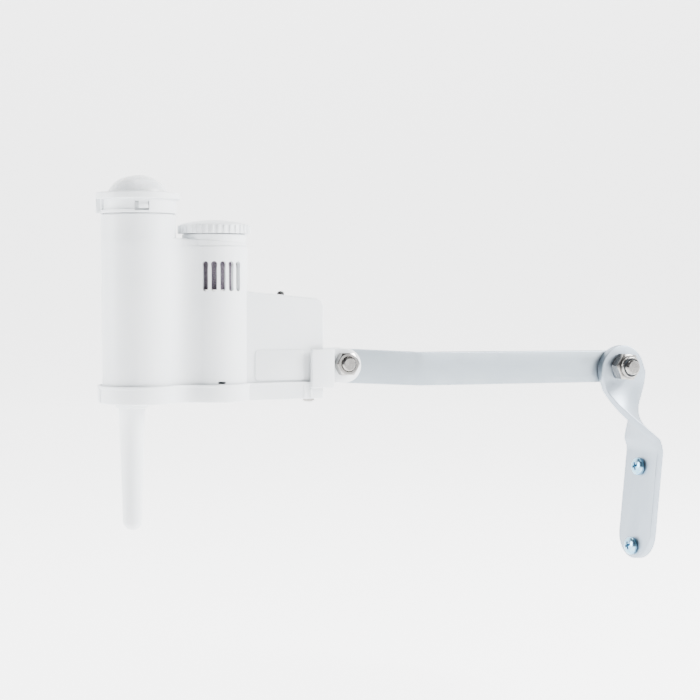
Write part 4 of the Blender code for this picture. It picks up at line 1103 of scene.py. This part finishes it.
arm_metal = satin_aluminium(
    "clear_anodised_arm_bar", "#9CA5AC", "#919BA3", (ROLL_LENGTH, ROLL_LENGTH, ROLL_LINE), 0.46
)
strap_metal = satin_aluminium(
    "clear_anodised_strap", "#A2ACB6", "#96A1AC", (ROLL_LENGTH, ROLL_LINE, ROLL_LENGTH), 0.44
)
print("aluminium finishes:", arm_metal.name, strap_metal.name)

# %% Bars that are cut flat and then bent
EDGE_BREAK = 0.35 * MM  # the sheared edges are tumbled round


def bar(name, start, end, radius, thickness, holes, stations, rule):
    """A flat bar along X with round ends and chamfered holes, sliced at each station and bent by a rule."""
    outline = arc((end - radius, 0), radius, -QUARTER, QUARTER, 40)
    outline += arc((start + radius, 0), radius, QUARTER, 3 * QUARTER, 40)
    flat = softened(slab(name, outline, -thickness / 2, thickness / 2), EDGE_BREAK, 3, 60)
    face = thickness / 2
    for number, (x, y, hole) in enumerate(holes):
        wide = hole + 0.2 * MM
        profile = [
            (0, -thickness),
            (wide, -thickness),
            (wide, -face),
            (hole, 0.2 * MM - face),
            (hole, face - 0.2 * MM),
            (wide, face),
            (wide, thickness),
            (0, thickness),
        ]
        cut(flat, turned(f"hole_{number}", profile, SMALL_ROUND, Matrix.Translation((x, y, 0))))
    bm = bmesh.new()
    bm.from_mesh(mesh_from(flat))
    for station in stations:
        everything = bm.verts[:] + bm.edges[:] + bm.faces[:]
        bmesh.ops.bisect_plane(bm, geom=everything, plane_co=(station, 0, 0), plane_no=(1, 0, 0))
    bmesh.ops.triangulate(bm, faces=[face for face in bm.faces if len(face.verts) > 4])
    for vert in bm.verts:
        vert.co = rule(vert.co)
    if bm.calc_volume(signed=True) < 0:
        bmesh.ops.reverse_faces(bm, faces=bm.faces)
    mesh = bpy.data.meshes.new(name + "_bent")
    bm.to_mesh(mesh)
    bm.free()
    made = bpy.data.objects.new(name + "_draft", mesh)
    drafts.objects.link(made)
    return made


def eased(share):
    """0 to 1 with a soft start and stop."""
    share = min(max(share, 0.0), 1.0)
    return share * share * (3 - 2 * share)


# %% Arm
LONG_LEG = 90.1 * MM
SHORT_LEG = 32.6 * MM
ARM_YAW = math.atan2(clevis_axis.x, clevis_axis.y)
LONG_RISE = math.radians(0.7)
SHORT_RISE = math.radians(3.3)
ARM_BEND = 6.0 * MM
CLEVIS_RISE = 0.9 * MM
PIVOT_HOLE = 3.3 * MM


def arm_rule(point):
    """Flat bar to bent arm: X runs from the pivot to the sensor, Y across the bar, Z through it."""
    share = eased((point.x - LONG_LEG) / ARM_BEND + 0.5)
    turn = Matrix.Rotation(-ARM_YAW * share, 4, "Z")
    turn = turn @ Matrix.Rotation((SHORT_RISE - LONG_RISE) * share, 4, "Y")
    corner = Vector((-LONG_LEG, 0, 0))
    flat = Vector((-point.x, point.z, point.y))
    return Matrix.Rotation(LONG_RISE, 4, "Y") @ (corner + turn @ (flat - corner))


def make_arm():
    length = LONG_LEG + SHORT_LEG
    half = ARM_WIDTH / 2
    holes = [(0, 0, PIVOT_HOLE), (length, CLEVIS_RISE, CLEVIS_HOLE)]
    slices = 24
    stations = [LONG_LEG + ARM_BEND * (step / slices - 0.5) for step in range(slices + 1)]
    arm = bar("bent_arm", -half, length + half, half, ARM_THICKNESS, holes, stations, arm_rule)
    place(arm, Matrix.Translation(pivot), arm_metal, "arm", "satin_aluminium", "mounting_arm", sharp=40)


make_arm()

# %% Wall bracket
STRAP_WIDTH = 20.5 * MM
STRAP = 3.2 * MM
SCREW_SPACING = 32.4 * MM
PLATE_END = 4.9 * MM
PLATE_TOP = 7.5 * MM
STRAP_BEND = math.radians(26.8)
STRAP_BEND_RADIUS = 8.0 * MM
BEND_TO_PIVOT = 36.1 * MM
PIVOT_END = 8.4 * MM
TWIST_START = 6.5 * MM
TWIST_LENGTH = 25.5 * MM
WALL_SCREW_HOLE = 2.05 * MM
pivot_here = BRACKET.inverted() @ pivot
pivot_here.y = 0


def bracket_rule(point):
    """Flat strap to twisted bracket: X runs down from the pivot, Y across the strap, Z through it."""
    twist = QUARTER * min(max((point.x - TWIST_START) / TWIST_LENGTH, 0), 1)
    side = point.y * math.cos(twist) + point.z * math.sin(twist)
    out = point.y * math.sin(twist) - point.z * math.cos(twist)
    bend_start = BEND_TO_PIVOT - STRAP_BEND_RADIUS * math.tan(STRAP_BEND / 2)
    heading = STRAP_BEND - min(max((point.x - bend_start) / STRAP_BEND_RADIUS, 0), STRAP_BEND)
    straight = min(point.x, bend_start)
    after = max(point.x - bend_start - STRAP_BEND_RADIUS * STRAP_BEND, 0)
    x = straight * math.sin(STRAP_BEND) + after * math.sin(heading) + side * math.cos(heading)
    x += STRAP_BEND_RADIUS * (math.cos(heading) - math.cos(STRAP_BEND))
    z = -straight * math.cos(STRAP_BEND) - after * math.cos(heading) + side * math.sin(heading)
    z -= STRAP_BEND_RADIUS * (math.sin(STRAP_BEND) - math.sin(heading))
    return pivot_here + Vector((x, out, z))


def make_bracket():
    saved = STRAP_BEND_RADIUS * (2 * math.tan(STRAP_BEND / 2) - STRAP_BEND)
    upper = BEND_TO_PIVOT - saved + PLATE_TOP
    lower = upper + SCREW_SPACING
    holes = [(0, 0, PIVOT_HOLE), (upper, 0, WALL_SCREW_HOLE), (lower, 0, WALL_SCREW_HOLE)]
    slices = 72
    last = BEND_TO_PIVOT + STRAP_BEND_RADIUS * STRAP_BEND / 2 + MM
    stations = [TWIST_START + (last - TWIST_START) * step / slices for step in range(slices + 1)]
    stations += [-2 * MM, 2 * MM]
    half = STRAP_WIDTH / 2
    tip = lower + PLATE_END
    strap = bar("twisted_bracket", -PIVOT_END, tip, half, STRAP, holes, stations, bracket_rule)
    place(strap, BRACKET, strap_metal, "wall_mount", "satin_aluminium", "wall_bracket", sharp=40)


make_bracket()

# %% [markdown]
# The bolts and nuts are stainless steel, cold forged and then turned, so their faces are smooth and bright.
# The wall screws are zinc plated, and a clear passivate gives them a blue cast. Turning and plating leave
# fine marks some 0.05 mm apart, which are drawn at 0.3 mm. The locking nut's ring is black nylon.

# %% Stainless, zinc and nylon finishes
TURNING_MARK = 0.3 * MM


def bright_steel(name, light, dark, roughness):
    tones = (light, dark)
    made, tree, shader, place_here = grained(
        name, light, tones, roughness, 2.5 * MM, TURNING_MARK, 0.01 * MM, 0.5, 3.0, 1.0
    )
    sheen = drifting(tree, place_here, MM, roughness - 0.06, roughness + 0.08)
    tree.links.new(sheen, shader.inputs["Roughness"])
    return made


stainless = bright_steel("forged_stainless_steel", "#A5A3A0", "#7D7B79", 0.2)
zinc = bright_steel("blue_passivated_zinc", "#9CC4DA", "#6FA3BF", 0.2)
nylon_tones = ("#1F262D", "#12161A")
black_nylon = grained("moulded_black_nylon", "#1A2026", nylon_tones, 0.35, MM, GRAIN, 0.02 * MM, 0.4)[0]
print("fastener finishes:", stainless.name, zinc.name, black_nylon.name)

# %% [markdown]
# A hexagon is cut from a bar whose corners were turned away first, which leaves a round bevel on each end. So
# the hexagon here is what a prism and a turned blank have in common. Threads only show where a bolt stands
# out of its nut: a fine grid whose radius falls and rises along a helix draws them.

# %% Hexagons and threaded rods
CHAMFER = math.tan(math.radians(30))
FACE_SHARE = 0.47  # the chamfer starts at this share of the width across flats
THREAD_STEPS = 48
THREAD_ROWS = 60
END_SLOPE = 1.2


def hexagon(name, flats, low, high, turn):
    """A hexagonal prism whose corners are chamfered at both ends."""
    corner = flats / math.sqrt(3)
    face = FACE_SHARE * flats
    outline = arc((0, 0), corner, 0, 2 * math.pi, 6)[:-1]
    fall = (corner - face) * CHAMFER
    blank = [(0, low), (face, low), (corner, low + fall), (corner, high - fall), (face, high), (0, high)]
    prism = slab(name, outline, low, high, turn)
    return combine(prism, "INTERSECT", [turned(name + "_blank", blank, MIDDLE_ROUND, turn)])


def threaded_rod(name, radius, pitch, low, thread_low, high, turn):
    """A rod along Z with a helical thread from thread_low to its chamfered end."""
    depth = 0.5 * pitch
    rows = [low] + [thread_low + (high - thread_low) * row / THREAD_ROWS for row in range(THREAD_ROWS + 1)]
    bm = bmesh.new()
    rings = []
    for height in rows:
        ring = []
        for step in range(THREAD_STEPS):
            wave = abs(((height / pitch - step / THREAD_STEPS) % 1.0) * 2 - 1)
            fade = min(max((height - thread_low) / pitch, 0.0), 1.0)
            reach = radius - depth * wave * fade
            reach = min(reach, radius - depth + (high - height) * END_SLOPE)
            angle = 2 * math.pi * step / THREAD_STEPS
            ring.append(bm.verts.new((reach * math.cos(angle), reach * math.sin(angle), height)))
        rings.append(ring)
    bm.faces.new(rings[0])
    bm.faces.new(rings[-1])
    for here, there in zip(rings, rings[1:]):
        for step in range(THREAD_STEPS):
            following = (step + 1) % THREAD_STEPS
            bm.faces.new((here[step], here[following], there[following], there[step]))
    return draft(name, bm, turn)


print("thread drawn with", THREAD_STEPS, "steps a turn")


def bolt_line(home, *names):
    """The axis of a bolt that runs to -Y, and the near and far ends of each node, along that axis."""
    spans = [nodes_in(home, name) for name in names]
    low, high = spans[0]
    axis = Matrix.Translation(((low.x + high.x) / 2, 0, (low.z + high.z) / 2)) @ STANDING
    return axis, [(-high.y, -low.y) for low, high in spans]


# %% Clevis bolt and nut, pivot bolt and locking nut
CLEVIS_FLATS = 8.0 * MM
PIVOT_FLATS = 10.0 * MM


def make_clevis_fasteners():
    axis, (bolt, nut) = bolt_line(HEAD, "clevis_bolt", "clevis_nut")
    shank = 2.5 * MM
    head = bolt[0] + 3.5 * MM
    rod = threaded_rod("clevis_screw", shank, 0.8 * MM, head - MM, nut[0], bolt[1], axis)
    joined(rod, hexagon("head", CLEVIS_FLATS, bolt[0], head, axis))
    place(rod, HEAD, stainless, "sensor_head", "stainless_steel", "clevis_bolt", sharp=25)
    bore = shank + 0.1 * MM
    bevel = bore + 0.35 * MM
    shape = [
        (0, nut[0] - MM),
        (bevel, nut[0] - MM),
        (bevel, nut[0]),
        (bore, nut[0] + 0.35 * MM),
        (bore, nut[1] - 0.35 * MM),
        (bevel, nut[1]),
        (bevel, nut[1] + MM),
        (0, nut[1] + MM),
    ]
    body = hexagon("clevis_hex_nut", CLEVIS_FLATS, nut[0], nut[1], axis)
    cut(body, turned("bore", shape, THREAD_STEPS, axis))
    place(body, HEAD, stainless, "sensor_head", "stainless_steel", "clevis_nut", sharp=25)


def make_pivot_fasteners():
    axis, (bolt, nut, insert) = bolt_line(BRACKET, "pivot_bolt", "pivot_nut", "pivot_nut_insert")
    shank = 3.0 * MM
    head = bolt[0] + 4.0 * MM
    rod = threaded_rod("pivot_screw", shank, 1.0 * MM, head - MM, nut[0], bolt[1], axis)
    joined(rod, hexagon("head", PIVOT_FLATS, bolt[0], head, axis))
    place(rod, BRACKET, stainless, "wall_mount", "stainless_steel", "pivot_bolt", sharp=25)
    collar = 4.3 * MM
    hex_top = insert[0]
    lip = 0.5 * MM
    profile = [(0, hex_top - MM), (collar, hex_top - MM), (collar, nut[1] - 0.7 * MM)]
    profile += arc((collar - 0.7 * MM, nut[1] - 0.7 * MM), 0.7 * MM, 0, QUARTER, 6)[1:]
    profile.append((0, nut[1]))
    inner = collar - lip
    bore = shank + 0.12 * MM
    room = [
        (0, nut[0] - MM),
        (bore, nut[0] - MM),
        (bore, hex_top - 0.1 * MM),
        (inner, hex_top - 0.1 * MM),
        (inner, nut[1] + MM),
        (0, nut[1] + MM),
    ]
    body = hexagon("locking_nut", PIVOT_FLATS, nut[0], hex_top, axis)
    joined(body, turned("collar", profile, MIDDLE_ROUND, axis))
    cut(body, turned("room", room, MIDDLE_ROUND, axis))
    place(body, BRACKET, stainless, "wall_mount", "stainless_steel", "pivot_nut", sharp=25)
    ring = [(inner - 0.05 * MM, hex_top), (inner - 0.05 * MM, insert[1] - 0.25 * MM)]
    ring += [(inner - 0.3 * MM, insert[1] - 0.05 * MM), (bore, insert[1] - 0.05 * MM), (bore, hex_top)]
    washer = turned("locking_ring", ring, MIDDLE_ROUND, axis)
    place(washer, BRACKET, black_nylon, "wall_mount", "black_nylon", "pivot_nut_insert")


make_clevis_fasteners()
make_pivot_fasteners()

# %% [markdown]
# A cross-head screw is a turned dome with a cross pressed into it. The cross is one tapered wing, cut from
# the head twice, a quarter turn apart.

# %% Cross-head screws
WALL_SHANK = 1.75 * MM
SMALL_SHANK = 1.1 * MM
SMALL_HEAD = 1.4 * MM


def cross_screw(name, home, axis, head, height, shank, length, finish, body, slot, node):
    """A pan-head screw whose seat is at the axis's origin, with its head towards +Z."""
    edge = height * 0.16
    dome = arc((0, 0), 1, QUARTER, 0, 14)[1:]
    crown = [(head * x, height * (0.42 + 0.58 * z)) for x, z in dome]
    profile = [(0, height)] + crown
    profile += [(head, edge), (head - edge, 0), (shank, 0), (shank, shank - length), (0, -length)]
    screw = turned(name, profile, SMALL_ROUND, axis)
    depth = height * 0.62
    wide = head * 0.62
    thin = head * 0.15
    narrow = wide * 0.35
    slim = thin * 0.6
    low = box_outline((-narrow, -slim), (narrow, slim))
    top = box_outline((-wide, -thin), (wide, thin))
    for turn in (math.radians(20), math.radians(110)):
        cut(screw, slab("wing", low, height - depth, height + depth / 2, axis @ around(turn), top))
    place(screw, home, finish, body, slot, node, sharp=25)


def make_screws():
    to_wall = (zinc, "wall_mount", "zinc_plated_steel")
    to_head = (stainless, "sensor_head", "stainless_steel")
    for number, node in enumerate(("wall_screw_upper", "wall_screw_lower"), 1):
        low, high = nodes_in(BRACKET, node)
        seat = -STRAP - GAP
        axis = Matrix.Translation((seat, 0, (low.z + high.z) / 2)) @ Matrix.Rotation(-QUARTER, 4, "Y")
        sizes = ((high.z - low.z) / 2, seat - low.x, WALL_SHANK, high.x - seat)
        cross_screw(f"wall_cross_screw_{number}", BRACKET, axis, *sizes, *to_wall, node)
    for number in (1, 2, 3):
        node = f"tray_screw_{number}"
        low, high = nodes_in(HEAD, node)
        seat = -GAP
        centre = ((low.x + high.x) / 2, (low.y + high.y) / 2, seat)
        axis = Matrix.Translation(centre) @ Matrix.Rotation(math.pi, 4, "X")
        sizes = ((high.x - low.x) / 2, seat - low.z, SMALL_SHANK, high.z - seat)
        cross_screw(f"tray_cross_screw_{number}", HEAD, axis, *sizes, *to_head, node)
    low, high = nodes_in(HEAD, "yoke_screw")
    seat = high.y - SMALL_HEAD
    centre = ((low.x + high.x) / 2, seat, (low.z + high.z) / 2)
    axis = Matrix.Translation(centre) @ Matrix.Rotation(-QUARTER, 4, "X")
    sizes = ((high.x - low.x) / 2, high.y - seat, SMALL_SHANK, seat - low.y)
    cross_screw("yoke_cross_screw", HEAD, axis, *sizes, *to_head, "yoke_screw")


make_screws()

# %% [markdown]
# The moisture discs are pressed from plant fibre. Rain makes them swell, and they then push the plunger down.
# They lie on each other, with edges that are slightly soft, so each is a turned disc with a round rim. They
# reach a little further out than the engineering model's, so that they fill the sleeve behind the slots.

# %% Pressed fibre discs
FIBRE = 0.5 * MM


def pressed_fibre():
    made, tree, shader = painted("pressed_plant_fibre", "#6E6770", 0.9)
    place_here = object_place(tree)
    fibres = add_node(tree, "ShaderNodeTexVoronoi", Vector=place_here, Scale=1 / FIBRE, Randomness=1.0)
    tone = add_node(tree, "ShaderNodeMath", {"operation": "MULTIPLY"}, i0=fibres.outputs["Distance"], i1=1.2)
    tree.links.new(tinted(tree, tone.outputs[0], "#776F79", "#544D57"), shader.inputs["Base Color"])
    bumped(tree, shader, fibres.outputs["Distance"], 0.1 * MM, 0.7)
    return made


DISCS = 5
DISC_SPREAD = 0.6 * MM
DISC_FILL = 0.28 * MM  # nearly up to the disc above


def make_discs():
    finish = pressed_fibre()
    for number in range(1, DISCS + 1):
        low, high = nodes_in(CAP, f"moisture_disc_{number}")
        radius = (high.x - low.x) / 2 + DISC_SPREAD
        top = high.z + (DISC_FILL if number < DISCS else 0)
        edge = 0.12 * MM
        profile = [(0, top)] + arc((radius - edge, top - edge), edge, QUARTER, 0, 4)
        profile += arc((radius - edge, low.z + edge), edge, 0, -QUARTER, 4) + [(0, low.z)]
        disc = turned(f"fibre_disc_{number}", profile, MIDDLE_ROUND)
        place(disc, CAP, finish, "sensor_head", "moisture_disc", f"moisture_disc_{number}")


make_discs()

# %% [markdown]
# What is left are the pieces inside the housing. Their shapes from the engineering model are right, and they
# hardly show, so they keep them and only get their finishes: a green circuit board with its copper under the
# mask, a battery in a shrunk sleeve, sprung brass contacts, and black mouldings.

# %% Finishes of the inner pieces
def circuit_board():
    """Glass laminate under a green solder mask: copper tracks show through as lighter bands."""
    made, tree, shader = painted("solder_masked_laminate", "#1E5A35", 0.35)
    place_here = object_place(tree)
    tracks = add_node(
        tree, "ShaderNodeTexBrick", Vector=place_here, Scale=1 / (4 * MM), Mortar_Size=0.03, Brick_Width=0.9
    )
    tracks.inputs["Color1"].default_value = (*linear("#1B5231"), 1)
    tracks.inputs["Color2"].default_value = (*linear("#205C38"), 1)
    tracks.inputs["Mortar"].default_value = (*linear("#3C8A58"), 1)
    tree.links.new(tracks.outputs["Color"], shader.inputs["Base Color"])
    weave = add_node(tree, "ShaderNodeTexNoise", Vector=place_here, Scale=1 / (0.4 * MM), Detail=2.0)
    bumped(tree, shader, weave.outputs["Fac"], 0.02 * MM, 0.4)
    return made


def shrunk_sleeve():
    """The battery's printed sleeve is plain here: a glossy blue film with slight waves."""
    tones = ("#284C90", "#1E3D78")
    return grained("shrunk_film_sleeve", "#25488A", tones, 0.22, 5 * MM, 2 * MM, 0.04 * MM, 0.4, 1.0)[0]


def grey_rubber():
    made, tree, shader = painted("sponge_sealing_rubber", "#7F8083", 0.8)
    place_here = object_place(tree)
    cells = add_node(tree, "ShaderNodeTexVoronoi", Vector=place_here, Scale=1 / (0.4 * MM))
    tree.links.new(tinted(tree, cells.outputs["Distance"], "#6F7073", "#8A8B8E"), shader.inputs["Base Color"])
    bumped(tree, shader, cells.outputs["Distance"], 0.06 * MM, 0.6)
    return made


def finish_inner_pieces():
    board = circuit_board()
    brass = bright_steel("sprung_brass", "#C9B37A", "#A8925A", 0.28)
    finishes = {
        board: ("solar_board", "transmitter_board"),
        shrunk_sleeve(): ("battery",),
        grey_rubber(): ("lens_gasket",),
        brass: ("antenna_wire", "lower_contact", "upper_contact"),
        stainless: ("plunger_spring", "switch_lever"),
        white_abs: ("plunger",),
        black_abs: ("microswitch", "photodiode", "freeze_thermistor", "tactile_switch", "vent_sleeve"),
    }
    for finish, names in finishes.items():
        for name in names:
            slots = frame["nodes"][name].material_slots
            for place_in in slots:
                place_in.material = finish
            print(name, "in", finish.name, "on", len(slots), "slot")


finish_inner_pieces()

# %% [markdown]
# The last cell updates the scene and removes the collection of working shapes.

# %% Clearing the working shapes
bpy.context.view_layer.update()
bpy.data.collections.remove(drafts)
